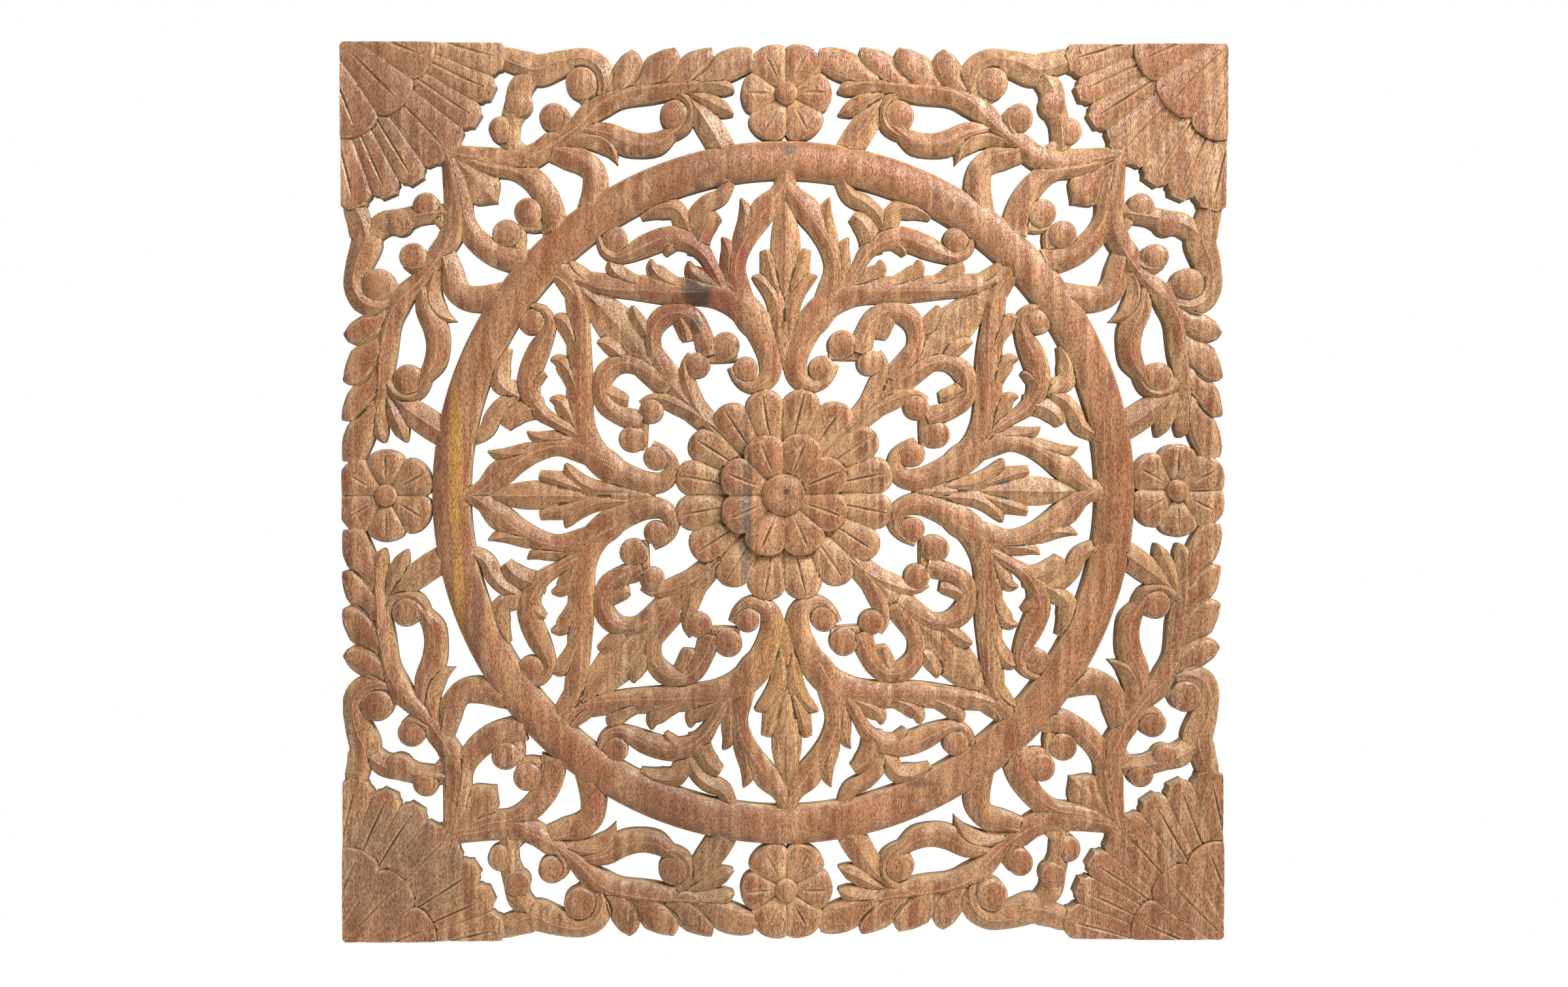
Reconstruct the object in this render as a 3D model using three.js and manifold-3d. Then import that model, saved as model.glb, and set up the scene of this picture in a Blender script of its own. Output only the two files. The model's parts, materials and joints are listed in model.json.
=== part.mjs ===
// A square wall panel of mango wood, pierced and carved in relief with a mandala.
// Boards are glued edge to edge into one blank, and the blank is pierced and carved as one solid.
// Units are millimetres. +X is right, +Z is up, the carved face looks along -Y, and the flat back lies on Y = 0.
// The origin is the middle of the back, where the panel meets its wall.
import * as THREE from "three";
import { mergeVertices } from "three/addons/utils/BufferGeometryUtils.js";
import Module from "manifold-3d";

// Driving dimensions of the blank.
const HALF_WIDTH = 450;
const HALF_HEIGHT = 456.3;
const THICKNESS = 25;
const CORNER_RADIUS = 5;

// The pattern is drawn on a square, one eighth of it: u runs right from the upright axis, v runs up from the centre.
// The band of the square outside STRETCH_FROM is then drawn out to the full height of the blank.
const STRETCH_FROM = 250;

// Where the carving by hand strays from the drawing: at [x, z], so far to the right and so far up.
// Each holds for about STRAY_REACH round it, and between them the pattern shifts smoothly.
const STRAY_REACH = 75;
const STRAYS = [
  [0, 0, -1, -2], [200, 0, 6, 3], [185, 185, 2, 0], [0, 225, 1, 5], [-190, 210, 1, 1], [-200, 0, -6, -2],
  [-190, -190, 1, -4], [0, -225, 4, -6], [190, -190, 2, 2], [-75, 75, -4, -5], [80, -80, 4, 2], [-80, -80, -2, 0],
  [400, 0, 2, 3], [400, 180, 3, 4], [300, 300, -1, 1], [180, 400, 2, 1], [0, 400, 1, 1], [-180, 400, 5, 0],
  [-300, 320, 3, 1], [-400, 240, -3, 3], [-400, 0, -5, -2], [-400, -180, -6, -6], [-320, -320, 0, -6],
  [-180, -400, 2, -2], [0, -400, 3, 0], [190, -400, 4, 4], [320, -320, 1, 4], [400, -180, 2, 2],
  [430, 430, 0, 0], [-430, 430, 0, 0], [-430, -430, 0, 0], [430, -430, 0, 2],
];

// The round moulding between the border and the middle.
const RING_INNER = 319.7;
const RING_OUTER = 358.5;
const RING_EDGE = 15;
const RING_CROWN = 22;
const RING_FACETS = 5;
const RING_SIDES = 96;

// The shell that fills each corner. Its rays meet outside the panel, at the same distance from both edges.
// Each tier has rays between the bounds, in degrees from the side to a little over the diagonal.
const SHELL_FOCUS = 488;
const SHELL = { root: 60, reach: 209, bounds: [10.5, 20.6, 29.1, 37.7, 52.3] };
const SHELL_INNER = { root: 40, reach: 143, bounds: [14.5, 34.4, 55.6] };

// The middle flower: two rings of petals and a button with a low rim.
const OUTER_FLOWER = { petals: 16, root: 40, reach: 109 };
const INNER_FLOWER = { petals: 8, root: 12, reach: 65 };
const BUTTON = { radius: 24, edge: 22, rim: 24, rimInset: 3, dish: 23.5, dishInset: 10, top: 5 };
const BUTTON_SIDES = 16;

// The flower in the middle of each side: its petals by direction in degrees, and the button over their roots.
const SIDE_FLOWER = 400;
const SIDE_PETAL_ROOT = 4;
const SIDE_PETALS = [
  { direction: 90, reach: 44.5, halfRoot: 14, halfTip: 33 },
  { direction: 1, reach: 46.5, halfRoot: 10, halfTip: 19 },
  { direction: -55, reach: 50, halfRoot: 10, halfTip: 19 },
];
const SIDE_BUTTON_RADIUS = 11.5;
const SIDE_BUTTON = { edge: 19.5, crown: 22, sides: 12 };

// How a petal rounds off: the length of its end and the widths there, as shares of its widest half.
const PETAL_END = 0.62;
const PETAL_SHOULDER = { along: 0.32, wide: 0.78 };
const PETAL_TIP = 0.3;
// Neighbouring petals and rays are this much wider than their share of the circle, so that they join.
const PETAL_LAP = 1.03;

// Heights above the back: the edge of a leaf, where it turns down to the back, and the ridge along its middle.
const LEAF = { edge: 14.5, ridge: 19 };
const STEM = { edge: 14.5, ridge: 20 };
const UNDER_LEAF = { edge: 13, ridge: 17 };
const RAY = { edge: 17, ridge: 20 };
const INNER_RAY = { edge: 19.5, ridge: 22.5 };
const OUTER_PETAL = { edge: 17, ridge: 20 };
const INNER_PETAL = { edge: 20, ridge: 23 };
const BALL = { edge: 14, crown: 20.5, sides: 9 };

// The ridge of a stroke keeps its height until the stroke is this much narrower than at its widest.
const RIDGE_HOLD = 1.6;
// A stroke that runs out to a point ends this wide on each side.
const TIP_WIDTH = 0.5;

// Sections that a stroke is given for each written station, and the facets that the finished solid keeps.
const SECTIONS = 2;
const FACETS = 9900;

// Strokes of the carving in one eighth, from root to tip.
// Each station is [u, v, width to the left, width to the right].
const STEMS = {
  border: [[347, 346, 9, 9], [330, 339, 11, 10], [316, 337, 12, 11], [298, 334, 13, 13], [276, 332, 12, 15],
    [256, 340, 11, 12], [239, 349, 8, 14], [226, 358, 8, 10], [214, 367, 8, 11], [202, 379, 9, 13],
    [190, 391, 13, 10], [172, 400, 13, 6], [140, 406, 15, 4], [102, 409, 10, 4], [85, 411, 6, 4]],
  crest: [[188, 394, 6, 12], [187, 412, 9, 16], [193, 426, 12, 15], [206, 434, 11, 14], [221, 434, 10.5, 14],
    [238, 430, 12, 16], [255, 423, 17, 15], [272, 426, 17, 8], [290, 436, 14, 9]],
  chain: [[262, 420, 8, 12], [272, 405, 12, 12], [275, 390, 12, 13], [280, 372, 11, 9], [283, 345, 12, 12]],
  ringUpper: [[243, 347, 12, 3], [225, 343, 15, 5], [210, 337, 14, 11], [199, 326, 12, 13], [196, 310, 13, 14],
    [201, 279, 14, 12]],
  ringLower: [[334, 337, 7, 7], [300, 328, 9, 10], [280, 325, 8, 9], [264, 317, 9, 14], [252, 307, 11, 14],
    [241, 293, 13, 13], [233, 265, 15, 13]],
  tail: [[208, 366, 7, 5], [185, 362, 10, 11], [165, 353, 13, 12], [148, 350, 11.5, 11.5], [132, 352, 11, 11.5],
    [118, 361, 7, 8], [104, 372, 4, 4]],
  palmette: [[38, 178, 14, 14], [48, 205, 14, 14], [50, 228, 10.5, 12], [45, 248, 11, 10], [34, 266, 11, 12],
    [20, 284, 12, 17], [6, 302, 9, 14], [0, 322, 12, 12]],
  inner: [[14, 138, 13, 13], [20, 155, 14, 12], [30, 174, 16, 14], [44, 191, 14, 16], [62, 202, 12, 17],
    [85, 203.5, 20, 13], [125, 205, 20, 12], [165, 206, 22, 8], [190, 208, 20, 6], [212, 213, 16, 6],
    [229, 229, 12, 12]],
  floral: [[64, 210, 8, 8], [74, 228, 7, 7], [84, 242, 10, 7], [97, 252, 12, 8], [112, 257, 13, 11],
    [128, 256, 12, 12], [145, 249, 12, 11], [160, 242, 9, 8], [174, 239, 7, 6], [186, 246, 7, 5], [191, 261, 4, 4]],
  heart: [[112, 112, 14, 14], [124, 132, 11.5, 12], [133, 150, 9, 9], [133, 167, 10, 10], [123, 180, 11, 11],
    [107, 184, 9, 10], [93, 178, 10, 11], [84, 166, 10, 10], [77, 152, 13, 9], [74, 142, 12, 7]],
};

const LEAVES = {
  topFirst: [[104, 406, 5, 4], [80, 416, 8, 9], [60, 425, 12.5, 12], [44, 431, 11.5, 12.5], [33, 433, 10, 11.5]],
  topSecond: [[130, 404, 4, 4], [108, 415, 9.5, 9], [88, 428, 11, 9.5], [79, 437, 9.5, 7], [76, 442, 4, 3]],
  topThird: [[158, 402, 6, 6], [139, 416, 13, 11.5], [122, 431, 14, 9], [115, 439, 9.5, 5.5], [112.5, 442, 4, 3]],
  topFourth: [[184, 397, 6, 6], [171, 412, 14, 11], [162, 428, 12.5, 10.5], [160.5, 437, 8.5, 6.5],
    [160.5, 442, 3, 3]],
  endFirst: [[106, 404, 5, 5], [76, 403.5, 9, 8], [62, 401.5, 7, 7.5], [53, 399.5, 3.5, 3.5]],
  endSecond: [[100, 401, 6, 6], [74, 387.5, 8.5, 8], [62, 379.5, 6, 6], [53, 374.5, 1.5, 2]],
  endThird: [[98, 394, 9, 9], [82, 372, 13.5, 13.5], [70, 354, 14, 14.5], [62, 340, 14, 14]],
  hook: [[120, 404, 8, 5], [105, 396, 8, 5], [98, 383, 8, 5], [101, 369, 8, 5], [110, 361, 8, 4], [121, 358, 6, 4]],
  sideTip: [[238, 350, 5, 5], [212, 357, 9, 7], [193, 358, 13, 10], [180, 349, 11, 8], [173, 332, 0, 0]],
  ballOneSeat: [[194, 392, 10, 11], [205, 397, 8, 8], [213, 402, 6, 6]],
  ballTwoStalk: [[241, 352, 8, 9], [229, 364, 8, 8], [226, 376, 6, 6], [231, 385, 4, 4]],
  ballFourSeat: [[275, 343, 6, 6], [288, 350, 8, 8], [300, 348, 6, 6]],
  ballFiveSeat: [[272, 272, 6, 8], [257, 272, 8, 8], [242, 275, 8, 8]],
  cornerLeaf: [[346, 346, 6, 6], [322, 322, 14, 14], [306, 306, 18.4, 18.4], [293.5, 293.5, 0, 0]],
  palmetteFirst: [[44, 248, 6, 6], [41, 268, 9, 9], [41, 285, 8, 6], [45, 300, 0, 0]],
  palmetteSecond: [[60, 215, 8, 8], [57, 238, 8, 8], [59, 251, 7, 6], [64, 264, 0, 0]],
  spear: [[0, 180, 12, 12], [0, 230, 13, 13], [0, 252, 17, 17], [0, 271, 15.5, 15.5], [0, 288, 8, 8], [0, 304, 0, 0]],
  spearMiddle: [[2, 208, 8, 10], [13, 227, 9, 13], [22, 240, 6, 6], [25, 250, 0, 0]],
  spearLow: [[4, 186, 8, 12], [16, 204, 8, 9], [26, 215, 6, 6], [33, 221.5, 0, 0]],
  innerFirst: [[68, 206, 8, 8], [88, 216, 9, 10], [97, 227, 8, 5.5], [97, 235.5, 1.5, 2]],
  innerSecond: [[108, 206, 8, 8], [127, 217, 9, 10], [136.5, 228, 8, 6], [136, 237, 1.5, 2]],
  innerThird: [[149, 206, 8, 8], [169, 217, 10, 10], [178, 227, 9, 6], [177.5, 237, 2, 2]],
  innerFourth: [[190, 210, 8, 8], [208, 220, 10, 9], [217, 230, 7, 7], [222, 241, 0, 0]],
  floralFirst: [[102, 264, 8, 8], [92, 283, 8, 8], [80, 293, 9, 9], [66, 301, 9.5, 7], [56, 318, 7, 8]],
  floralLow: [[90, 240, 12, 10], [85, 262, 11, 11], [77, 274, 10, 10], [68, 280, 5.5, 6]],
  floralSecond: [[98, 262, 8, 8], [103, 274, 7, 13], [113, 286, 10, 10], [127, 288, 10, 11], [138, 284, 8, 7],
    [148, 279, 3, 3]],
  floralDrop: [[110, 256, 8, 8], [120, 247, 7, 6], [123.5, 240, 3, 3]],
  ballOneScroll: [[12, 134, 11, 8], [15, 119, 10, 8], [26, 111, 8, 8], [38, 110.5, 8, 5], [48, 119, 8, 4],
    [54, 130, 6, 3]],
  ballWeb: [[44, 137, 6, 6], [60, 138, 7, 6], [80, 138, 9, 5]],
  heartTip: [[110, 184, 8, 8], [103, 172, 9, 9], [101, 156.5, 8, 8]],
  ballThreeStalk: [[76, 74, 10, 12], [88, 94, 11, 14], [95, 110, 10.5, 12], [99, 122, 8, 7], [100, 134, 5, 4],
    [94, 143, 4, 4]],
  diagonalLobe: [[136, 158, 9, 9], [146, 172, 8, 11], [152, 182, 6.5, 10], [154.5, 190.5, 1.5, 2]],
};

const UNDER_LEAVES = {
  diagonal: [[68, 68, 12, 12], [92, 92, 15, 15], [130, 130, 18, 18], [163, 163, 22, 22], [188, 188, 17, 17],
    [214, 214, 10, 10]],
  trunk: [[0, 125, 20, 20], [0, 160, 21, 21], [0, 188, 12, 12]],
};

// Buttons of the carving in one eighth: [u, v, radius].
const BALLS = [
  [116, 378, 12.5], [213, 410.5, 14.5], [240, 377.5, 12.5], [270.5, 389, 11.5], [291.5, 362.5, 11.5],
  [262.5, 284, 13], [174.5, 257.5, 13], [38.5, 127, 12.5], [58.5, 151, 14], [86.5, 132, 12],
];

// Points of a geometry that lie closer together than this are one point.
const SAME_POINT = 1e-3;

// Thinning: the dearest fold allowed between a face and its successor, as a cosine, the smallest normal of a face,
// the price of a long pull, and the prices from first to last, with the rise from round to round.
const FOLD = 0.5;
const SMALLEST_NORMAL = 0.05;
const PULL_PRICE = 1e-3;
const PRICES = { first: 0.5, last: 1e6, rise: 1.25 };

const wasm = await Module();
wasm.setup();

// Turns a closed geometry into a solid that can be joined and cut.
function solid(geometry) {
  const bare = new THREE.BufferGeometry();
  bare.setAttribute("position", geometry.getAttribute("position"));
  bare.setIndex(geometry.getIndex());
  const merged = mergeVertices(bare, SAME_POINT);
  return new wasm.Manifold(
    new wasm.Mesh({
      numProp: 3,
      vertProperties: merged.getAttribute("position").array,
      triVerts: new Uint32Array(merged.getIndex().array),
    }),
  );
}

// Joins solids two by two.
function joined(solids) {
  let row = solids;
  while (row.length > 1) {
    const next = [];
    for (let i = 0; i < row.length; i += 2) {
      next.push(i + 1 < row.length ? row[i].add(row[i + 1]) : row[i]);
    }
    row = next;
  }
  return row[0];
}

// A point of the drawing, at a height above the back, in the frame of the panel.
function place(u, v, height) {
  return [u, -height, v];
}

// Skins a row of closed sections, each a list of points that runs the same way round, and caps both ends.
function loft(sections) {
  const around = sections[0].length;
  const triangles = [];
  for (let i = 0; i + 1 < sections.length; i++) {
    for (let j = 0; j < around; j++) {
      const a = i * around + j;
      const b = i * around + ((j + 1) % around);
      triangles.push(a, b, a + around, b, b + around, a + around);
    }
  }
  const last = (sections.length - 1) * around;
  for (let j = 1; j + 1 < around; j++) {
    triangles.push(0, j + 1, j);
    triangles.push(last, last + j, last + j + 1);
  }
  const geometry = new THREE.BufferGeometry();
  geometry.setAttribute("position", new THREE.Float32BufferAttribute(sections.flat(2), 3));
  geometry.setIndex(triangles);
  return geometry;
}

// One stroke of the carving: a ribbon with upright sides and a ridge, which falls off where the ribbon narrows.
function stroke(stations, { edge, ridge }) {
  const middles = stations.map(([u, v]) => new THREE.Vector3(u, v, 0));
  const line = new THREE.CatmullRomCurve3(middles, false, "centripetal");
  const widths = new THREE.CatmullRomCurve3(stations.map(([, , l, r], i) => new THREE.Vector3(l, r, i)));
  const widest = Math.max(...stations.map(([, , l, r]) => l + r));
  const count = (stations.length - 1) * SECTIONS;
  const sections = [];
  for (let i = 0; i <= count; i++) {
    const here = line.getPoint(i / count);
    const along = line.getTangent(i / count);
    const width = widths.getPoint(i / count);
    const left = Math.max(width.x, TIP_WIDTH);
    const right = Math.max(width.y, TIP_WIDTH);
    const crest = edge + (ridge - edge) * Math.min(1, (RIDGE_HOLD * (left + right)) / widest);
    const at = (offset, height) => place(here.x - along.y * offset, here.y + along.x * offset, height);
    sections.push([at(left, 0), at(left, edge), at(0, crest), at(-right, edge), at(-right, 0)]);
  }
  return loft(sections);
}

// A petal with a rounded end, from a centre out along a direction in degrees.
function petal([u, v], { direction, root, reach, halfRoot, halfTip }, heights) {
  const turn = THREE.MathUtils.degToRad(direction);
  const at = (distance, half) => [u + Math.cos(turn) * distance, v + Math.sin(turn) * distance, half, half];
  const end = Math.min(halfTip, reach - root) * PETAL_END;
  const stations = [
    at(root, halfRoot),
    at(reach - end, halfTip),
    at(reach - end * PETAL_SHOULDER.along, halfTip * PETAL_SHOULDER.wide),
    at(reach, halfTip * PETAL_TIP),
  ];
  return stroke(stations, heights);
}

// Turns a profile of [distance from the axis, height above the back] about an axis square to the back.
function turned(profile, sides, [u, v] = [0, 0]) {
  const lathe = new THREE.LatheGeometry(profile.map(([r, h]) => new THREE.Vector2(r, h)), sides);
  return lathe.rotateX(Math.PI).translate(u, 0, v);
}

// A button: an upright round boss with a domed top.
function button([u, v, radius], { edge, crown, sides }) {
  const slope = [radius * 0.66, edge + (crown - edge) * 0.75];
  return turned([[0, 0], [radius, 0], [radius, edge], slope, [0, crown]], sides, [u, v]);
}

// The round moulding: a half-round on a square base.
function moulding() {
  const middle = (RING_INNER + RING_OUTER) / 2;
  const half = (RING_OUTER - RING_INNER) / 2;
  const profile = [[RING_INNER, 0], [RING_OUTER, 0]];
  for (let i = 0; i <= RING_FACETS; i++) {
    const turn = (Math.PI * i) / RING_FACETS;
    profile.push([middle + half * Math.cos(turn), RING_EDGE + (RING_CROWN - RING_EDGE) * Math.sin(turn)]);
  }
  profile.push(profile[0]);
  return turned(profile, RING_SIDES);
}

// The middle button, a low dome in a shallow dish inside its rim.
function middleButton() {
  const { radius, edge, rim, rimInset, dish, dishInset, top } = BUTTON;
  const profile = [[0, 0], [radius, 0], [radius, edge], [radius - rimInset, rim], [radius - dishInset, dish]];
  return turned([...profile, [top, THICKNESS], [0, THICKNESS]], BUTTON_SIDES);
}

// The rays of one tier of a corner shell, in the half of the corner that belongs to this eighth.
function shellTier({ root, reach, bounds }, heights) {
  const rays = [];
  for (let i = 0; i + 1 < bounds.length; i++) {
    const direction = 180 + (bounds[i] + bounds[i + 1]) / 2;
    const halfAngle = THREE.MathUtils.degToRad(bounds[i + 1] - bounds[i]) / 2;
    const [halfRoot, halfTip] = [root, reach].map((distance) => distance * Math.tan(halfAngle) * PETAL_LAP);
    rays.push(petal([SHELL_FOCUS, SHELL_FOCUS], { direction, root, reach, halfRoot, halfTip }, heights));
  }
  return rays;
}

// One ring of the middle flower, in this eighth: the petals between the diagonal and the upright axis.
function flowerRing({ petals, root, reach }, heights) {
  const pitch = 360 / petals;
  const spread = Math.tan(THREE.MathUtils.degToRad(pitch / 2)) * PETAL_LAP;
  const ring = [];
  for (let direction = 45 + pitch / 2; direction < 90; direction += pitch) {
    ring.push(petal([0, 0], { direction, root, reach, halfRoot: root * spread, halfTip: reach * spread }, heights));
  }
  return ring;
}

// The flower in the middle of a side, with a button over the roots of its petals.
function sideFlower() {
  const centre = [0, SIDE_FLOWER];
  const petals = SIDE_PETALS.map((sizes) => petal(centre, { root: SIDE_PETAL_ROOT, ...sizes }, LEAF));
  return [...petals, button([...centre, SIDE_BUTTON_RADIUS], SIDE_BUTTON)];
}

// Everything that is drawn in one eighth of the pattern.
function eighth() {
  const named = (strokes, heights) => Object.values(strokes).map((stations) => stroke(stations, heights));
  return joined([
    ...named(STEMS, STEM),
    ...named(LEAVES, LEAF),
    ...named(UNDER_LEAVES, UNDER_LEAF),
    ...BALLS.map((ball) => button(ball, BALL)),
    ...sideFlower(),
    ...shellTier(SHELL, RAY),
    ...shellTier(SHELL_INNER, INNER_RAY),
    ...flowerRing(OUTER_FLOWER, OUTER_PETAL),
    ...flowerRing(INNER_FLOWER, INNER_PETAL),
  ].map(solid));
}

// The eighth and its mirror images fill the square.
function mirrored(part) {
  const quarter = part.add(part.mirror([1, 0, -1]));
  const half = quarter.add(quarter.mirror([1, 0, 0]));
  return half.add(half.mirror([0, 0, 1]));
}

// The sawn blank, with slightly worn corners.
function blank() {
  const r = CORNER_RADIUS;
  const outline = new THREE.Shape();
  const [x, y] = [HALF_WIDTH - r, HALF_HEIGHT - r];
  outline.absarc(x, y, r, 0, Math.PI / 2);
  outline.absarc(-x, y, r, Math.PI / 2, Math.PI);
  outline.absarc(-x, -y, r, Math.PI, Math.PI * 1.5);
  outline.absarc(x, -y, r, Math.PI * 1.5, Math.PI * 2);
  const plate = new THREE.ExtrudeGeometry(outline, { depth: THICKNESS, bevelEnabled: false, curveSegments: 2 });
  return plate.rotateX(Math.PI / 2);
}

// Draws the square out to the height of the blank, and moves each point as the carving strays.
function asCarved(point) {
  const [x, , z] = point;
  let [right, up, whole] = [0, 0, 0];
  for (const [atX, atZ, toRight, toUp] of STRAYS) {
    const weight = Math.exp(-0.5 * ((x - atX) ** 2 + (z - atZ) ** 2) / STRAY_REACH ** 2);
    right += weight * toRight;
    up += weight * toUp;
    whole += weight;
  }
  const beyond = THREE.MathUtils.smoothstep(Math.abs(z), STRETCH_FROM, HALF_WIDTH);
  point[0] = x + right / whole;
  point[2] = z + up / whole + Math.sign(z) * (HALF_HEIGHT - HALF_WIDTH) * beyond;
}

// How far a point lies from the planes summed in a quadric: the squares of the distances, times the areas.
function misfit(q, [x, y, z]) {
  const planes = q[0] * x * x + q[4] * y * y + q[7] * z * z + q[9];
  return planes + 2 * (q[1] * x * y + q[2] * x * z + q[3] * x + q[5] * y * z + q[6] * y + q[8] * z);
}

// A closed mesh that can lose vertices one at a time, the one that shapes the surface least first.
class Thinner {
  constructor(positions, triangles) {
    this.points = [];
    for (let i = 0; i < positions.length; i += 3) {
      this.points.push(new THREE.Vector3(...positions.slice(i, i + 3)));
    }
    this.faces = [];
    for (let i = 0; i < triangles.length; i += 3) {
      this.faces.push([...triangles.slice(i, i + 3)]);
    }
    this.around = this.points.map(() => new Set());
    this.quadrics = this.points.map(() => new Float64Array(10));
    this.ages = this.points.map(() => 0);
    this.left = this.faces.length;
    this.faces.forEach((face, f) => this.enter(face, f));
  }

  // The normal of a face, as long as twice its area.
  normal(a, b, c) {
    return new THREE.Vector3().subVectors(b, a).cross(new THREE.Vector3().subVectors(c, a));
  }

  // Notes a face at its three corners, with its plane.
  enter(face, f) {
    const [a, b, c] = face.map((i) => this.points[i]);
    const normal = this.normal(a, b, c);
    const weight = normal.length();
    normal.divideScalar(weight || 1);
    const plane = [normal.x, normal.y, normal.z, -normal.dot(a)];
    const products = plane.flatMap((one, m) => plane.slice(m).map((other) => weight * one * other));
    for (const i of face) {
      this.around[i].add(f);
      products.forEach((product, k) => (this.quadrics[i][k] += product));
    }
  }

  neighbours(i) {
    const near = new Set([...this.around[i]].flatMap((f) => this.faces[f]));
    near.delete(i);
    return near;
  }

  // The price of pulling vertex i into vertex j.
  price(i, j) {
    const target = this.points[j];
    const both = this.quadrics[i].map((value, k) => value + this.quadrics[j][k]);
    return misfit(both, target.toArray()) + PULL_PRICE * this.points[i].distanceToSquared(target);
  }

  // Whether vertex i can be pulled into vertex j without a fold or a pinch.
  allowed(i, j) {
    const near = this.neighbours(j);
    const shared = [...this.neighbours(i)].filter((k) => near.has(k));
    if (shared.length !== 2) return false;
    for (const f of this.around[i]) {
      const face = this.faces[f];
      if (face.includes(j)) continue;
      const before = this.normal(...face.map((k) => this.points[k]));
      const after = this.normal(...face.map((k) => this.points[k === i ? j : k]));
      if (after.length() < SMALLEST_NORMAL) return false;
      if (before.normalize().dot(after.normalize()) < FOLD) return false;
    }
    return true;
  }

  // Pulls vertex i into vertex j.
  pull(i, j) {
    for (const f of [...this.around[i]]) {
      const face = this.faces[f];
      if (face.includes(j)) {
        for (const k of face) this.around[k].delete(f);
        this.faces[f] = null;
        this.left -= 1;
      } else {
        face[face.indexOf(i)] = j;
        this.around[j].add(f);
      }
    }
    this.quadrics[i].forEach((value, k) => (this.quadrics[j][k] += value));
    this.around[i].clear();
    this.ages[i] += 1;
    this.ages[j] += 1;
  }

  // Drops vertices in rounds of rising price until no more than the wanted number of faces is left.
  thin(wanted) {
    for (let limit = PRICES.first; this.left > wanted && limit < PRICES.last; limit *= PRICES.rise) {
      const age = (i, j) => this.ages[i] + this.ages[j];
      const offers = this.around.flatMap((_, i) => {
        return [...this.neighbours(i)].map((j) => ({ i, j, price: this.price(i, j), made: age(i, j) }));
      });
      offers.sort((one, other) => one.price - other.price);
      for (const { i, j, price, made } of offers) {
        if (price > limit || this.left <= wanted) break;
        if (made === age(i, j) && this.allowed(i, j)) this.pull(i, j);
      }
    }
  }

  geometry() {
    const faces = this.faces.filter(Boolean);
    const kept = [...new Set(faces.flat())];
    const places = new Map(kept.map((i, place) => [i, place]));
    const geometry = new THREE.BufferGeometry();
    const points = kept.flatMap((i) => this.points[i].toArray());
    geometry.setAttribute("position", new THREE.Float32BufferAttribute(points, 3));
    geometry.setIndex(faces.flatMap((face) => face.map((i) => places.get(i))));
    return geometry;
  }
}

// The whole panel: the drawn pattern, the moulding and the middle button, trimmed to the blank.
function panel() {
  const carved = joined([mirrored(eighth()).warp(asCarved), solid(moulding()), solid(middleButton())]);
  const { vertProperties, triVerts } = carved.intersect(solid(blank())).getMesh();
  const thinner = new Thinner(vertProperties, triVerts);
  thinner.thin(FACETS);
  return thinner.geometry();
}

const wood = new THREE.MeshStandardMaterial({ color: 0xb5815c, roughness: 0.55, metalness: 0 });
wood.name = "carved_wood";

const object = new THREE.Group();
const carvedPanel = new THREE.Mesh(panel(), wood);
carvedPanel.name = "carved_panel";
object.add(carvedPanel);

export default object;
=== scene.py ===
"""Looks of a square wood wall panel, pierced and carved in relief with a mandala.

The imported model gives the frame, and the fine relief here stands for the panel's plain CAD solid. It is
carved from a finer drawing of the same eighth, stroke by stroke, with full sections and with gouge cuts
between and along the petals. The drawing is in millimetres, and every mesh ends in metres.
"""

import json
import logging
import math
from dataclasses import dataclass, field
from enum import Enum
from typing import Sequence

import bpy
import numpy as np
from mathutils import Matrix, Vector

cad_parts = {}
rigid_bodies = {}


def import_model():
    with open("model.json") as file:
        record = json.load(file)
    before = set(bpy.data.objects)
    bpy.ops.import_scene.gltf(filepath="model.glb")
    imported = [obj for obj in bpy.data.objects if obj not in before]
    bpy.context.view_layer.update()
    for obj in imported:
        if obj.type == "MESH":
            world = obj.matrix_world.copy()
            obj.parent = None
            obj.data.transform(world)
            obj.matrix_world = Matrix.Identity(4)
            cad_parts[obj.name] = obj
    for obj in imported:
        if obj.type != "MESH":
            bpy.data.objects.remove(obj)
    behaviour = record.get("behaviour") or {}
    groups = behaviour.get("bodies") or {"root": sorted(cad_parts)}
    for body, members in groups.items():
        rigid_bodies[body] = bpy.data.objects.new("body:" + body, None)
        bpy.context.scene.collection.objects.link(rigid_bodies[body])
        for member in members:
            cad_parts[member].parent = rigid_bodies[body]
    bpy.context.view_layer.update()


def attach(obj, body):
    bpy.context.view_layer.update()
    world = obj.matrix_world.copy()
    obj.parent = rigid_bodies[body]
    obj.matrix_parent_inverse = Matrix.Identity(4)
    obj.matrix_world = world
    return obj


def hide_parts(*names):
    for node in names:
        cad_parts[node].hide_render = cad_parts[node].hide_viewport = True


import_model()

log = logging.getLogger("carved_panel")

MM = 0.001
TINY = 1e-9

Mesh = bpy.types.Mesh
Node = bpy.types.Node
Socket = bpy.types.NodeSocket
Tree = bpy.types.NodeTree
Material = bpy.types.Material
Point = tuple[float, float]
Triple = tuple[float, float, float]
Colour = tuple[float, float, float, float]
Station = tuple[float, float, float, float]

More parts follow.
